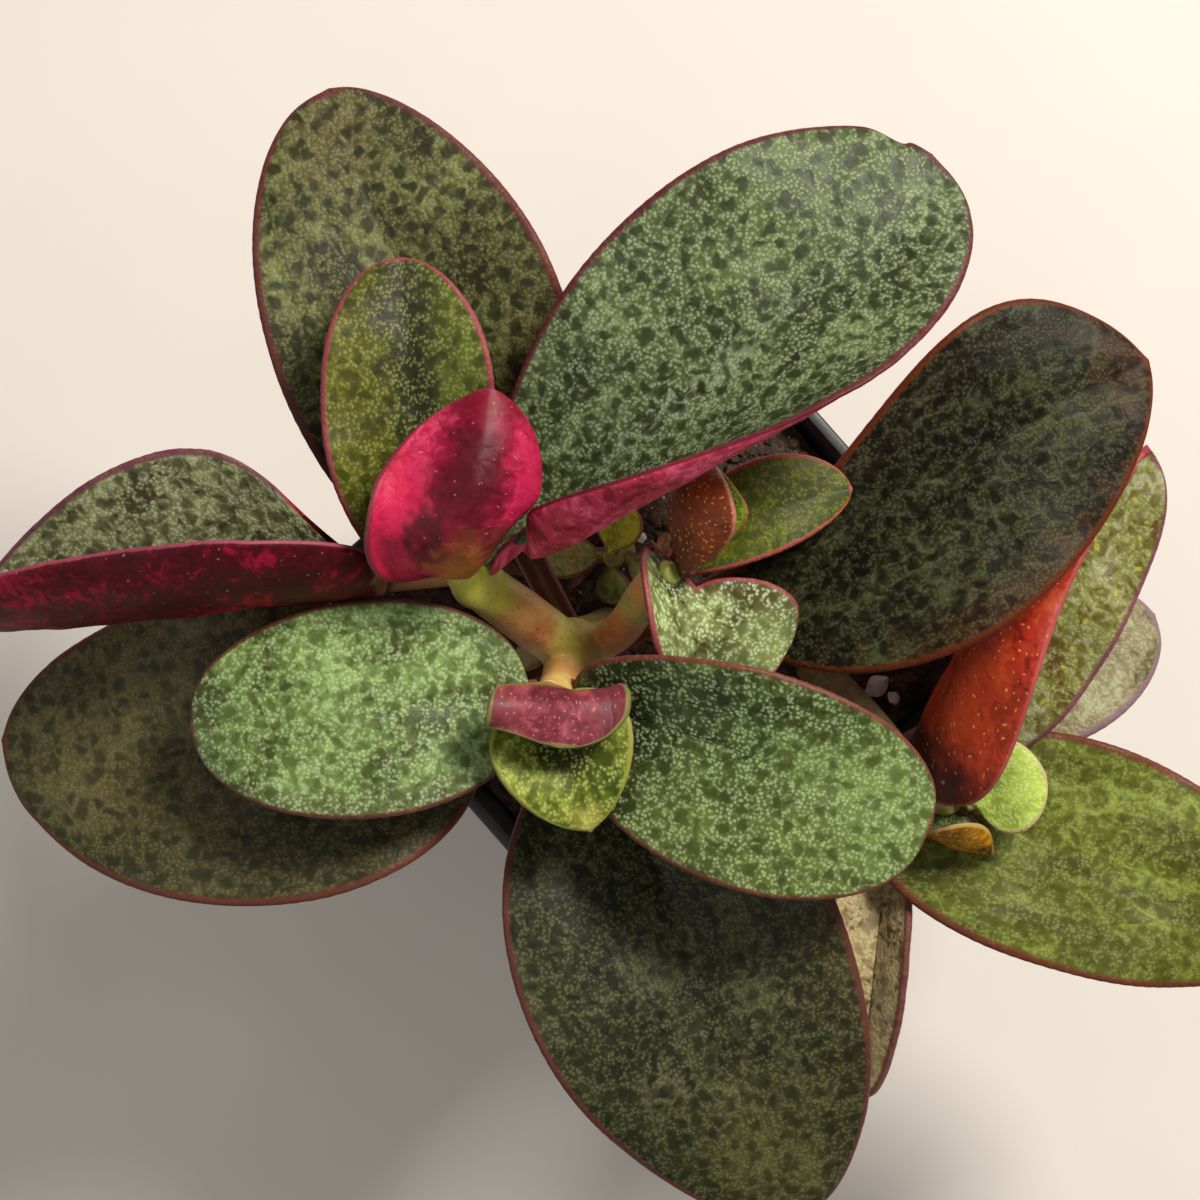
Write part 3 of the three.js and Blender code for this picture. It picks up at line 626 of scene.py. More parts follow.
def skin(rings):
    """Points and faces of a closed skin through equal rings."""
    count = len(rings[0])
    points = [p for ring in rings for p in ring]
    faces = []
    for r in range(len(rings) - 1):
        for k in range(count):
            a, b = r * count + k, r * count + (k + 1) % count
            faces.append((a, b, b + count, a + count))
    faces.append(tuple(reversed(range(count))))
    faces.append(tuple(range((len(rings) - 1) * count, len(rings) * count)))
    return points, faces


def link_mesh(name, points, faces, materials, smooth=True):
    mesh = bpy.data.meshes.new(name)
    mesh.from_pydata([tuple(p) for p in points], [], faces)
    mesh.polygons.foreach_set("use_smooth", [smooth] * len(faces))
    for look in materials:
        mesh.materials.append(look)
    return link_object(name, mesh)


def apply_modifiers(piece):
    bpy.context.view_layer.update()
    evaluated = piece.evaluated_get(bpy.context.evaluated_depsgraph_get())
    made = bpy.data.meshes.new_from_object(evaluated)
    made.name = piece.data.name
    piece.modifiers.clear()
    piece.data = made


def own_piece(piece, slot, *replaced):
    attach(piece, "root")
    if replaced:
        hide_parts(*replaced)


# The lengths of a stem are joined by voxels of this size and smoothed this many times
STEM_VOXEL = 0.32
STEM_SMOOTHING = 8


def add_stem(name, look):
    points, faces = [], []
    for axis, radii in STEMS[name]:
        ring_points, ring_faces = skin(stem_tube(axis, radii))
        faces += [tuple(len(points) + k for k in face) for face in ring_faces]
        points += ring_points
    for stem, place, radius in NODES:
        if stem == name:
            bead = bmesh.new()
            at = Matrix.Translation(place)
            bmesh.ops.create_icosphere(bead, subdivisions=3, radius=radius, matrix=at)
            faces += [tuple(len(points) + v.index for v in face.verts) for face in bead.faces]
            points += [v.co.copy() for v in bead.verts]
            bead.free()
    piece = link_mesh(name + "_bark", [plant_place(p) for p in points], faces, [look])
    voxels = piece.modifiers.new("voxels", "REMESH")
    voxels.mode = "VOXEL"
    voxels.voxel_size = STEM_VOXEL * MM
    voxels.use_smooth_shade = True
    even = piece.modifiers.new("even", "SMOOTH")
    even.iterations = STEM_SMOOTHING
    even.factor = 0.5
    apply_modifiers(piece)
    own_piece(piece, "stem_green", name)


# Colour areas on the stems: place in the plant's frame, reach in millimetres, colour and strength
STEM_AREAS = [
    ((-17, 1.5, 93), 5, 0xc9904c, 0.9), ((-21, 5, 98), 5, 0xb8b83c, 0.9),
    ((-20, 3, 99), 3.5, 0xc8c648, 0.8), ((-15, -0.5, 91), 3, 0xa85a30, 0.7),
    ((-11, -3, 88), 4.5, 0xb8ae40, 0.9), ((-14, -8, 100), 4, 0xdca468, 0.9),
    ((-13, -7, 92), 5, 0xd08850, 0.7), ((-5, -0.5, 89), 4.5, 0xc06c3e, 0.85),
    ((-1, 5, 97), 4.5, 0xc88648, 0.8), ((1, 6, 101), 3, 0x98a048, 0.9),
    ((-10, -2, 78), 7, 0x8a7f4c, 0.7), ((-7, -1, 60), 12, 0x8f7f5c, 0.9),
    ((34, -21, 75), 6, 0x7d7a34, 0.9), ((24, -9, 60), 12, 0x6a5236, 0.8),
]


def stem_face():
    g = Graph("crassula_stem")
    place = g.millimetres()
    loose = g.shaken(place, 3.0, 1.0)
    broad = g.noise(loose, 5.0, 4.0).outputs[0]
    fine = g.noise(place, 0.9, 3.0, 0.6).outputs[0]
    colour = g.cover(g.soft(broad, 0.35, 0.65), tint(0x948c40), tint(0xc4ba5e))
    for centre, reach, code, amount in STEM_AREAS:
        middle = tuple(plant_place(centre) / MM)
        distance = g.node("VectorMath", {0: loose, 1: middle}, operation="DISTANCE").outputs["Value"]
        colour = g.paint(colour, g.soft(distance, reach * 1.2, reach * 0.5), amount, code)
    colour = g.paint(colour, g.soft(fine, 0.45, 0.7), 0.3, 0xc9b68a)
    pores = g.cells(loose, 0.9)
    marks = g.times(g.soft(pores.outputs["Distance"], 0.28, 0.16), g.soft(broad, 0.4, 0.6))
    colour = g.paint(colour, marks, 0.4, 0x6a3a2c)
    g.shader.inputs["Subsurface Weight"].default_value = 0.08
    g.shader.inputs["Subsurface Radius"].default_value = (0.9, 0.7, 0.3)
    g.shader.inputs["Subsurface Scale"].default_value = MM
    return g.finish(colour, g.rising(fine, 0.25, 0.32), g.bump(fine, 0.2, 0.5))


# Pot and soil

def rounded_square(half, corner, z, steps=14):
    """Square with round corners at height z in millimetres, anticlockwise seen from above."""
    ring = []
    for quarter in range(4):
        middle = (quarter + 0.5) * pi / 2
        reach = (half - corner) * sqrt(2)
        for k in range(steps + 1):
            angle = (quarter + k / steps) * pi / 2
            ring.append(Vector((reach * cos(middle) + corner * cos(angle),
                                reach * sin(middle) + corner * sin(angle), z)) * MM)
    return ring


def body_half(z):
    return mix(BASE_HALF, RIM_HALF - RIM_STEP, z / POT_HEIGHT)


def body_corner(z):
    return mix(BASE_CORNER, RIM_CORNER, z / POT_HEIGHT)


def body_ring(z, extra=0.0):
    return rounded_square(body_half(z) + extra, body_corner(z) + extra, z)


def pot_face():
    g = Graph("pot_black_plastic")
    place = g.millimetres()
    cloud = g.noise(place, 18.0, 4.0).outputs[0]
    grain = g.noise(place, 0.35, 2.0).outputs[0]
    height = g.node("SeparateXYZ", {0: place}).outputs[2]
    colour = g.cover(g.soft(cloud, 0.35, 0.7), tint(0x1b1b1c), tint(0x262627))
    dust = g.soft(g.noise(place, 3.0, 4.0, 0.7).outputs[0], 0.52, 0.75)
    colour = g.paint(colour, dust, 0.25, 0x5a5148)
    colour = g.paint(colour, g.soft(height, 8.0, 0.0), 0.35, 0x3c352e)
    return g.finish(colour, g.rising(cloud, 0.3, 0.32), g.bump(grain, 0.05, 0.35))


def add_pot():
    band = POT_HEIGHT - RIM_BAND
    lip = RIM_STEP / 3
    rings = [
        rounded_square(BASE_HALF - BASE_BEVEL, BASE_CORNER - BASE_BEVEL, 0),
        rounded_square(BASE_HALF - 0.3 * BASE_BEVEL, BASE_CORNER - 0.3 * BASE_BEVEL, 0.3 * BASE_BEVEL),
        body_ring(BASE_BEVEL), body_ring(20), body_ring(40), body_ring(band - 0.2), body_ring(band),
        body_ring(band + RIM_STEP / 2, RIM_STEP), body_ring(band + RIM_STEP / 2 + 0.3, RIM_STEP),
        rounded_square(RIM_HALF, RIM_CORNER, POT_HEIGHT - 2 * lip),
        rounded_square(RIM_HALF - 0.1 * lip, RIM_CORNER, POT_HEIGHT - lip),
        rounded_square(RIM_HALF - 0.5 * lip, RIM_CORNER, POT_HEIGHT - 0.3 * lip),
        rounded_square(RIM_HALF - 1.2 * lip, RIM_CORNER - lip, POT_HEIGHT),
        rounded_square(RIM_HALF - RIM_LIP + 0.2, RIM_CORNER - RIM_LIP + 0.2, POT_HEIGHT),
        rounded_square(RIM_HALF - RIM_LIP, RIM_CORNER - RIM_LIP, POT_HEIGHT - 0.2),
        body_ring(band, -WALL), body_ring(40, -WALL), body_ring(20, -WALL), body_ring(FLOOR + 0.4, -WALL),
        body_ring(FLOOR, -WALL - 0.4),
    ]
    points, faces = skin(rings)
    piece = link_mesh("pot_shell", points, faces, [pot_face()])
    drains = bmesh.new()
    for x in (-DRAIN_PLACE, DRAIN_PLACE):
        for y in (-DRAIN_PLACE, DRAIN_PLACE):
            bmesh.ops.create_cone(drains, cap_ends=True, segments=40, radius1=DRAIN_RADIUS * MM,
                                  radius2=DRAIN_RADIUS * MM, depth=4 * FLOOR * MM,
                                  matrix=Matrix.Translation((x * MM, y * MM, 0)))
    cutter_mesh = bpy.data.meshes.new("drain_cutter")
    drains.to_mesh(cutter_mesh)
    drains.free()
    cutter = link_object("drain_cutter", cutter_mesh)
    cut = piece.modifiers.new("drains", "BOOLEAN")
    cut.operation = "DIFFERENCE"
    cut.object = cutter
    apply_modifiers(piece)
    bpy.data.objects.remove(cutter)
    piece.data.shade_smooth()
    piece.data.set_sharp_from_angle(angle=radians(40))
    own_piece(piece, "black_plastic", "pot")


def soil_relief(x, y):
    slow = sin(0.23 * x + 1.1) * cos(0.19 * y - 0.6)
    quick = sin(0.71 * x - 0.43 * y) * cos(0.58 * y + 0.37 * x + 2)
    return SOIL_RELIEF * (0.6 * slow + 0.4 * quick)


# Sizes of the crumbs on the soil and how high each stands
CRUMBLE = ((3.2, 0.9), (1.4, 0.55), (0.6, 0.25))


def soil_height(x, y):
    """Height of the dressed soil: the model's relief with crumbs of three sizes on it."""
    height = SOIL_TOP + soil_relief(x, y)
    for size, amount in CRUMBLE:
        height += amount * noise.noise(Vector((x / size, y / size, size)))
    return height


def soil_face():
    g = Graph("potting_soil")
    place = g.millimetres()
    broad = g.noise(place, 4.0, 4.0, 0.6).outputs[0]
    fine = g.noise(place, 0.6, 3.0, 0.7).outputs[0]
    colour = g.cover(g.soft(broad, 0.35, 0.65), tint(0x2a1f18), tint(0x544030))
    colour = g.paint(colour, g.soft(fine, 0.5, 0.75), 0.6, 0x64503e)
    grit = g.cells(place, 0.7)
    pale = g.soft(g.node("SeparateColor", {0: grit.outputs["Color"]}).outputs[1], 0.93, 0.97)
    colour = g.paint(colour, pale, g.soft(grit.outputs["Distance"], 0.4, 0.2), 0xb0a08c)
    relief = g.maths("ADD", fine, g.cells(place, 0.5).outputs["Distance"])
    return g.finish(colour, g.rising(fine, 0.2, 0.75), g.bump(relief, 0.35, 0.8))


# Squares along each side of the soil's top, and the soil's clearance from the pot's floor
SOIL_CELLS = 180
SOIL_CLEAR = 0.3


def add_soil(look):
    """A finely crumbled top on a body that fills the pot."""
    half = body_half(SOIL_TOP) - SOIL_INSET
    corner = body_corner(SOIL_TOP) - SOIL_INSET
    points, faces = [], []
    for j in range(SOIL_CELLS + 1):
        for i in range(SOIL_CELLS + 1):
            x = mix(-half, half, i / SOIL_CELLS)
            y = mix(-half, half, j / SOIL_CELLS)
            beyond = Vector((max(0, abs(x) - half + corner), max(0, abs(y) - half + corner)))
            if beyond.length > corner:
                beyond *= corner / beyond.length
                x = (half - corner + beyond.x) * (1 if x > 0 else -1)
                y = (half - corner + beyond.y) * (1 if y > 0 else -1)
            points.append(Vector((x, y, soil_height(x, y))) * MM)
    row = SOIL_CELLS + 1
    for j in range(SOIL_CELLS):
        for i in range(SOIL_CELLS):
            a = j * row + i
            faces.append((a, a + 1, a + row + 1, a + row))
    rim = [*range(row), *[j * row + SOIL_CELLS for j in range(1, row)]]
    rim += [SOIL_CELLS * row + i for i in reversed(range(SOIL_CELLS))]
    rim += [j * row for j in reversed(range(1, SOIL_CELLS))]
    base = FLOOR + SOIL_CLEAR
    shrink = (body_half(base) - SOIL_INSET) / half
    start = len(points)
    points += [Vector((points[k].x * shrink, points[k].y * shrink, base * MM)) for k in rim]
    for k in range(len(rim)):
        nxt = (k + 1) % len(rim)
        faces.append((rim[nxt], rim[k], start + k, start + nxt))
    faces.append(tuple(start + k for k in reversed(range(len(rim)))))
    own_piece(link_mesh("soil_body", points, faces, [look]), "potting_soil", "soil")


def lumps(name, entries, look, slot, detail, roughness):
    """One piece of many loose grains: each has its place, half sizes, turn and roughness seed."""
    points, faces = [], []
    for place, size, turn, seed in entries:
        grain = bmesh.new()
        bmesh.ops.create_icosphere(grain, subdivisions=detail, radius=1)
        spin = Matrix.Rotation(turn[0], 3, "Z") @ Matrix.Rotation(turn[1], 3, "X")
        first = len(points)
        for vertex in grain.verts:
            bulge = 1 + roughness * noise.noise(vertex.co * 1.3 + Vector((seed, 0, 0)))
            point = Vector([c * s * bulge for c, s in zip(vertex.co, size)])
            points.append((spin @ point + Vector(place)) * MM)
        faces += [tuple(first + v.index for v in face.verts) for face in grain.faces]
        grain.free()
    own_piece(link_mesh(name, points, faces, [look], smooth=detail > 2), slot)


def plain_face(name, dark, light, size, rough, relief):
    """A two-tone rough material for small loose things."""
    g = Graph(name)
    place = g.millimetres()
    tone = g.noise(place, size, 4.0, 0.65).outputs[0]
    colour = g.cover(g.soft(tone, 0.3, 0.7), tint(dark), tint(light))
    normal = g.bump(g.noise(place, size / 4, 3.0).outputs[0], relief, 0.7)
    return g.finish(colour, g.rising(tone, 0.2, rough), normal)


# Perlite grains and bark chips that show in the photograph, in the plant's frame: across and up
SHOWN_PERLITE = [((28.9, -8.2), (1.8, 1.3, 1.2)), ((31.2, -9.6), (0.9, 0.7, 0.7))]
SHOWN_BARK = [((-16.6, -24.0), (2.6, 1.4, 0.9))]
CRUMB_COUNT = 900
BARK_COUNT = 26
PERLITE_COUNT = 16
EDGE_CLEAR = 1.2
SEED = 41


def grain_entries():
    """Crumbs, bark chips and perlite grains lying on the soil."""
    chance = Random(SEED)
    reach = body_half(SOIL_TOP) - SOIL_INSET - EDGE_CLEAR

    def lying(x, y, size, sink):
        turn = (chance.uniform(0, 2 * pi), chance.uniform(-0.5, 0.5))
        return ((x, y, soil_height(x, y) + size[2] * sink), size, turn, chance.uniform(0, 50))

    def scattered(count, low, high, stretch, sink):
        made = []
        for _ in range(count):
            x, y = chance.uniform(-reach, reach), chance.uniform(-reach, reach)
            size = chance.uniform(low, high)
            made.append(lying(x, y, (size * chance.uniform(1, stretch), size, size * 0.7), sink))
        return made

    def shown(entries, sink):
        placed = [(TURN @ Vector((*place, 0)), size) for place, size in entries]
        return [lying(place.x, place.y, size, sink) for place, size in placed]

    crumbs = scattered(CRUMB_COUNT, 0.3, 1.0, 1.6, 0.3)
    bark = scattered(BARK_COUNT, 0.7, 1.3, 3.0, 0.5) + shown(SHOWN_BARK, 0.7)
    perlite = scattered(PERLITE_COUNT, 0.5, 1.2, 1.3, 0.5) + shown(SHOWN_PERLITE, 0.7)
    return crumbs, bark, perlite


# Each leaf's material slot, the look of its upper face and the look of its underside
GREEN = dict(ground=(0x3c4728, 0x5f6e3e, 0x8a9a62), points=(0.5, 0xb4c092), rim=(0.4, 0x7a4444))
WINE = dict(ground=(0x32101a, 0x541a28, 0x74303c), dots=(1.6, 0.15, 0.5, 0x8f6a50), rim=(0.4, 0x7a3a48))
DEEP = dict(ground=(0x5a6636, 0x848e4c, 0xa2ac62), rim=(0.3, 0x7a5040))
FACES = {
    "leaf_back_left": ("leaf_dark_green", dict(
        ground=(0x2b2b15, 0x454823, 0x626738), spots=(0.8, 0x252617), points=(0.32, 0x93956c),
        veins=(2.2, 0.3, 0x81815d), rim=(0.9, 0x5c2a2a), stalk=(0.16, 0x745c38),
        # The first patch, dark across the base, is painted shade
        patches=[(0, 0.2, 1.3, 0.2, 0x221f16, 0.85), (0.1, 0.97, 0.9, 0.18, 0x645738, 0.6),
            (0.05, 0.5, 0.08, 0.35, 0x817b5b, 0.6)])),
    "leaf_dark_left": ("leaf_dark_green", dict(
        ground=(0x2d2f1a, 0x434328, 0x59583a), spots=(0.65, 0x232214), points=(0.24, 0x88865a),
        rim=(0.9, 0x5e2e24), stalk=(0.2, 0x4a3a22),
        patches=[(0.7, 0.5, 0.6, 0.5, 0x39311a, 0.6), (-0.8, 0.5, 0.5, 0.5, 0x524020, 0.6),
            (0, 0.85, 0.9, 0.3, 0x5f532e, 0.5)])),
    "leaf_dark_front": ("leaf_dark_green", dict(
        ground=(0x16190d, 0x252715, 0x47472f), spots=(0.5, 0x12150b), points=(0.28, 0x83865a),
        rim=(0.8, 0x5a2e28),
        patches=[(0.35, 0.5, 0.1, 0.4, 0x44482a, 0.7), (-0.2, 0.6, 0.1, 0.35, 0x44482a, 0.6),
            (0, 0.9, 0.9, 0.2, 0x53522a, 0.7), (0.85, 0.4, 0.35, 0.6, 0x433b1f, 0.6),
            (-0.85, 0.5, 0.35, 0.5, 0x32341c, 0.6)])),
    "leaf_dark_right": ("leaf_dark_green", dict(
        ground=(0x0e0a04, 0x20200e, 0x34361c), spots=(0.7, 0x0b0804), points=(0.32, 0x5a6044),
        veins=(2.2, 0.38, 0x505640), stretch=0.6, gloss=0.1, rim=(0.8, 0x5a2610), stalk=(0.22, 0x71522c),
        patches=[(0.85, 0.6, 0.45, 0.6, 0x1e170c, 0.7), (-0.98, 0.75, 0.28, 0.4, 0x442410, 0.6),
            (0, 1.0, 1.2, 0.1, 0x482410, 0.65)])),
    "leaf_lime_back": ("leaf_lime_green", dict(
        ground=(0x1f210a, 0x333715, 0x5b5e22), spots=(0.5, 0x1d210b), points=(0.47, 0x95995a),
        rim=(0.5, 0x8c3844),
        patches=[(0.75, 0.5, 0.55, 0.8, 0x5a5a16, 0.9), (-0.75, 0.45, 0.55, 0.7, 0x586123, 0.9),
            (0, 0.92, 0.7, 0.2, 0x3c3e2b, 0.8), (0, 0.5, 0.35, 0.5, 0x282b15, 0.8)])),
    "leaf_cupped_crimson": ("leaf_crimson", GREEN, dict(
        ground=(0x5e0917, 0x9d1337, 0xbd3a5f), dots=(2.2, 0.08, 0.35, 0xe0a898), rim=(0.3, 0x7a2434),
        # Painted shade: the dark middle of the dome (-0.05, 0.68), the hollow (-0.34, 0.42) and the dark
        # lower part of the left half (0.45, 0.38). Painted light: the bright strip at the right edge
        # (-0.85, 0.42) and the bright left slope (0.8, 0.62).
        patches=[(-0.05, 0.68, 0.55, 0.36, 0x57081b, 0.95), (-0.85, 0.42, 0.5, 0.4, 0xc3204b, 0.95),
            (0.8, 0.62, 0.45, 0.45, 0xb11c46, 0.9), (0, 0.97, 1.2, 0.14, 0x6f081f, 0.85),
            (-0.34, 0.42, 0.2, 0.2, 0x53111b, 0.95), (0.45, 0.38, 0.45, 0.14, 0x5f201f, 0.85),
            (0, 0.2, 0.35, 0.26, 0xba7035, 0.95), (0.7, 0.12, 0.5, 0.2, 0x78422c, 0.8)])),
    "leaf_folded_left": ("leaf_crimson", dict(
        ground=(0x403a26, 0x707251, 0x989e70), spots=(0.6, 0x312d1c), points=(0.42, 0xc2c7a0),
        rim=(0.7, 0x602a3c), stalk=(0.13, 0xb5845c)), dict(
        ground=(0x39030a, 0x4c0310, 0x93092c), dots=(2.6, 0.1, 0.4, 0xc890a0), rim=(0.25, 0x8e3c52),
        stalk=(0.14, 0xb2845a))),
    "leaf_large_back_right": ("leaf_light_green", dict(
        ground=(0x2b2f17, 0x424d2c, 0x66734a), spots=(0.75, 0x222511), points=(0.51, 0x9dab88),
        rim=(0.7, 0x541a24), stalk=(0.06, 0x6c7040),
        patches=[(0.5, 0.8, 0.6, 0.35, 0x51602f, 0.6), (0.3, 0.12, 0.9, 0.15, 0x475228, 0.6),
            (-0.05, 0.5, 0.06, 0.3, 0x80896f, 0.6)]), dict(
        ground=(0x7c1a2c, 0xb7314b, 0xea5e85), dots=(1.4, 0.13, 0.5, 0xc08a90), rim=(0.3, 0x501420))),
    "leaf_light_left": ("leaf_light_green", dict(
        ground=(0x3d451c, 0x63783c, 0x87a15f), spots=(0.5, 0x364118), points=(0.51, 0xb4c79c),
        rim=(0.5, 0x602c2a),
        # The second patch, dark across the base, is painted shade
        patches=[(0, 0.97, 1.1, 0.1, 0x3c4327, 0.7), (0, 0.08, 0.9, 0.1, 0x423e1d, 0.7),
            (0.9, 0.5, 0.25, 0.6, 0x4e4f37, 0.5)])),
    "leaf_light_front_right": ("leaf_light_green", dict(
        ground=(0x262b0c, 0x3f4d20, 0x687c44), spots=(0.5, 0x242a0b), points=(0.51, 0xafc294),
        rim=(0.5, 0x683228),
        # The third patch, near-black across the base, is painted shade
        patches=[(0, 0.85, 1.1, 0.3, 0x718344, 0.9), (-0.6, 0.55, 0.6, 0.4, 0x5c692e, 0.7),
            (0, 0.14, 1.1, 0.2, 0x1e220d, 0.9), (0.5, 0.3, 0.5, 0.2, 0x2e3918, 0.7)])),
    "leaf_young_front": ("leaf_lime_green", dict(
        ground=(0x3d4b0e, 0x5f6a1a, 0x899539), spots=(0.45, 0x323e0b), points=(0.42, 0xcdd57f),
        rim=(0.5, 0x8a8a3c),
        patches=[(0, 0.35, 0.6, 0.3, 0x262b08, 0.9), (0, 0.92, 0.9, 0.15, 0xaea84f, 0.8)])),
    "leaf_young_upright": ("leaf_crimson", GREEN, dict(
        ground=(0x3c1819, 0x6d2831, 0x9f4955), dots=(0.8, 0.09, 0.4, 0xc8989a),
        rim=(0.5, 0x70703c), stalk=(0.2, 0x8a7c34),
        patches=[(-0.8, 0.6, 0.4, 0.5, 0x68262e, 0.7), (0.8, 0.6, 0.4, 0.5, 0x833d42, 0.7),
            (0.1, 0.4, 0.5, 0.25, 0x571823, 0.7)])),
    "leaf_mint_right": ("leaf_light_green", dict(
        ground=(0x413b1e, 0x6f7740, 0x97a669), spots=(0.3, 0x3b341a), points=(0.64, 0xcee0b7),
        rim=(0.45, 0x8a3a44),
        patches=[(0.8, 0.45, 0.4, 0.6, 0x493e1d, 0.85), (0, 0.88, 1.1, 0.3, 0x909e5d, 0.8)]), dict(
        ground=(0x541e20, 0x773625, 0x93552e), dots=(1.0, 0.15, 0.9, 0xe0c89a), rim=(0.3, 0x8a4048),
        patches=[(-0.8, 0.2, 0.4, 0.2, 0x521e2e, 0.8)])),
    "leaf_small_right": ("leaf_lime_green", dict(
        ground=(0x323d15, 0x454e1b, 0x65690f), spots=(0.5, 0x2f3811), points=(0.38, 0x848931),
        rim=(0.45, 0x9a4a40),
        patches=[(0.3, 0.3, 1.1, 0.35, 0x565d07, 0.9), (0, 0.9, 1.1, 0.4, 0x41461b, 0.8)])),
    "leaf_small_cupped": ("leaf_crimson", dict(
        ground=(0x4d6617, 0x6f8c24, 0x91b439), points=(0.42, 0xb5d859), rim=(0.3, 0x8b6624)), dict(
        ground=(0x402115, 0x613422, 0x7f4125), dots=(0.9, 0.14, 0.8, 0xd0a040), rim=(0.35, 0xb47060),
        patches=[(0.8, 0.5, 0.4, 0.7, 0x8b3e21, 0.8)])),
    "leaf_side_back_low": ("leaf_light_green", dict(
        ground=(0x58522d, 0x7f7655, 0x9c9f7b), points=(0.26, 0xbebba0), rim=(0.9, 0x80646e))),
    "leaf_side_front": ("leaf_dark_green", dict(
        ground=(0x684e2d, 0xb19f7a, 0xb7a564), spots=(0.4, 0x503b21), points=(0.3, 0xe9eb99),
        rim=(0.6, 0x6a3834)), dict(
        ground=(0x52483c, 0x7c6f5c, 0x949072), dots=(1.6, 0.15, 0.5, 0x8f8a60), rim=(0.4, 0x6a3040))),
    "leaf_side_right": ("leaf_lime_green", dict(
        ground=(0x40410a, 0x595e18, 0x737f33), veins=(3.2, 0.5, 0x86973a), stretch=0.35,
        spots=(0.52, 0x3c3f0c), points=(0.38, 0x929c5d), rim=(0.9, 0x642c22),
        patches=[(0.3, 0.1, 1.2, 0.2, 0x53500e, 0.8), (0, 0.95, 1.1, 0.14, 0x484216, 0.7),
            (-0.6, 0.6, 0.5, 0.4, 0x585d22, 0.7)])),
    "leaf_side_folded": ("leaf_crimson", dict(
        ground=(0x564318, 0x78793b, 0x999876), spots=(0.57, 0x503e17), dots=(2.6, 0.3, 0.6, 0xb8b040),
        points=(0.34, 0xb3b88e), rim=(0.6, 0x6e3a4a)), dict(
        ground=(0x65140b, 0x992818, 0xa74320), dots=(1.5, 0.13, 0.7, 0xd8a040), rim=(0.4, 0xa04848),
        # The last patch, near-black across the base, is a painted shadow cast by the leaf in front
        patches=[(0.3, 0.22, 1, 0.25, 0xb03f20, 0.8), (0.5, 0.93, 1.1, 0.15, 0x822214, 0.8),
            (0.2, 0.06, 1.2, 0.1, 0x2c0f0c, 0.9)])),
    "leaf_side_young": ("leaf_lime_green", dict(
        ground=(0x8ea53b, 0xaac24f, 0xb8c96d), points=(0.42, 0xd4dca2), rim=(0.5, 0xb0a070))),
    "leaf_side_cupped": ("leaf_crimson", GREEN, dict(
        ground=(0x352303, 0x865704, 0xb17e14), dots=(0.8, 0.14, 0.7, 0xd0a040), rim=(0.35, 0xa08a50))),
    "leaf_deep_left": ("leaf_dark_green", dict(
        ground=(0x7c8848, 0xb4b868, 0xd0d684), points=(0.42, 0xdce4b0), rim=(0.35, 0x8a5040)), DEEP),
    "leaf_deep_front": ("leaf_dark_green", DEEP, DEEP),
    "leaf_deep_back": ("leaf_lime_green", dict(
        ground=(0xa8b028, 0xd6da38, 0xe6ea5a), points=(0.34, 0xeaee98), rim=(0.35, 0x9a6040)), DEEP),
    "leaf_deep_right": ("leaf_dark_green", DEEP, DEEP),
    "withered_scrap": ("withered_leaf", dict(
        ground=(0x9a8664, 0xc4b088, 0xe0d2b0), rim=(0.3, 0x8a6a50), stalk=(0.3, 0x6a4464),
        rough=0.6), dict(
        ground=(0x8a7654, 0xb0987a, 0xc8b498), rim=(0.3, 0x8a6a50), rough=0.6)),
}


# Light, floor and camera

def add_area(name, place, aim, size, watts, colour):
    light = bpy.data.lights.new(name, "AREA")
    light.shape = "DISK"
    light.size = size * MM
    light.energy = watts
    light.color = colour
    lamp = link_object(name, light)
    lamp.location = plant_place(place)
    towards = plant_place(aim) - lamp.location
    lamp.rotation_euler = towards.to_track_quat("-Z", "Y").to_euler()


# Half the floor's side and how far it lies below the pot, in metres
FLOOR_REACH = 3
FLOOR_DROP = 0.0002


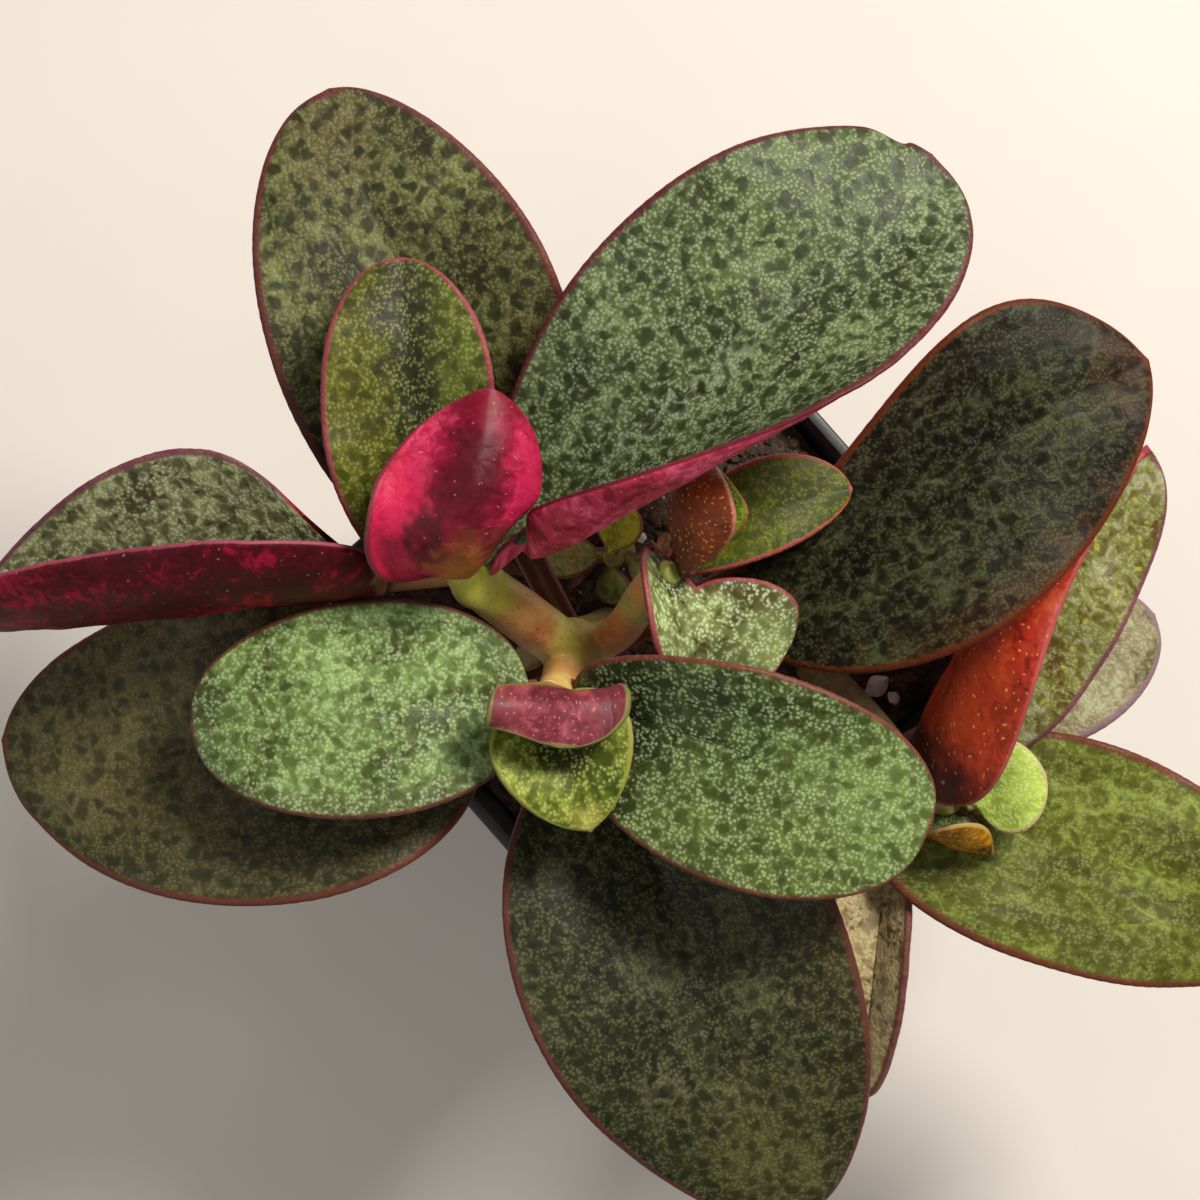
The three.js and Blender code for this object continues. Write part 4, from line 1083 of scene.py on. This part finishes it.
def add_floor():
    corners = [(x * FLOOR_REACH, y * FLOOR_REACH, 0) for x, y in ((-1, -1), (1, -1), (1, 1), (-1, 1))]
    floor = link_mesh("floor", corners, [(0, 1, 2, 3)], [])
    g = Graph("pale_floor")
    tone = g.noise(g.millimetres(), 60.0, 3.0).outputs[0]
    g.feed(g.shader.inputs["Base Color"], g.cover(tone, tint(0xd9d2cb), tint(0xe2dcd6)))
    g.shader.inputs["Roughness"].default_value = 0.7
    floor.data.materials.append(g.material)
    floor.location.z = -FLOOR_DROP


def add_world():
    world = bpy.data.worlds.new("studio")
    world.use_nodes = True
    world.node_tree.nodes["Background"].inputs["Color"].default_value = (1, 0.97, 0.92, 1)
    world.node_tree.nodes["Background"].inputs["Strength"].default_value = 0.27
    bpy.context.scene.world = world


def add_camera():
    data = bpy.data.cameras.new("camera")
    data.sensor_width = SENSOR
    data.lens = SENSOR * CAMERA_ABOVE_RIM / VIEW_WIDTH_AT_RIM
    camera = link_object("camera", data)
    camera.location = plant_place(CAMERA_PLACE)
    camera.rotation_euler = (0, 0, radians(PLANT_TURN))
    bpy.context.scene.camera = camera


bark = stem_face()
for stem_name in STEMS:
    add_stem(stem_name, bark)

for index, (leaf_name, shape) in enumerate(LEAVES.items()):
    slot_name, upper_look, *other = FACES[leaf_name]
    upper_face = leaf_face(leaf_name + "_upper", upper_look, index)
    under_face = leaf_face(leaf_name + "_under", other[0] if other else WINE, index)
    add_leaf(leaf_name, shape, upper_face, under_face, slot_name, index)

add_pot()
add_soil(soil_face())
crumb_entries, bark_entries, perlite_entries = grain_entries()
crumb_face = plain_face("soil_crumb", 0x241a13, 0x5a4230, size=1.2, rough=0.8, relief=0.2)
lumps("soil_crumbs", crumb_entries, crumb_face, "potting_soil", detail=1, roughness=0.5)
bark_face = plain_face("bark_chip", 0x4a2c1a, 0x8a5c38, size=1.6, rough=0.7, relief=0.3)
lumps("bark_chips", bark_entries, bark_face, "potting_soil", detail=2, roughness=0.7)
perlite_face = plain_face("perlite", 0xd8d0c6, 0xf2ece4, size=1.0, rough=0.85, relief=0.3)
lumps("perlite_grains", perlite_entries, perlite_face, "potting_soil", detail=3, roughness=0.45)

add_floor()
add_world()
add_area("key", (330, 380, 620), aim=(-5, 0, 90), size=220, watts=7.6, colour=(1, 0.95, 0.86))
add_area("fill", (-380, -260, 520), aim=(-5, 0, 80), size=600, watts=0.7, colour=(1, 0.97, 0.92))
add_camera()
bpy.context.scene.view_settings.view_transform = "Standard"
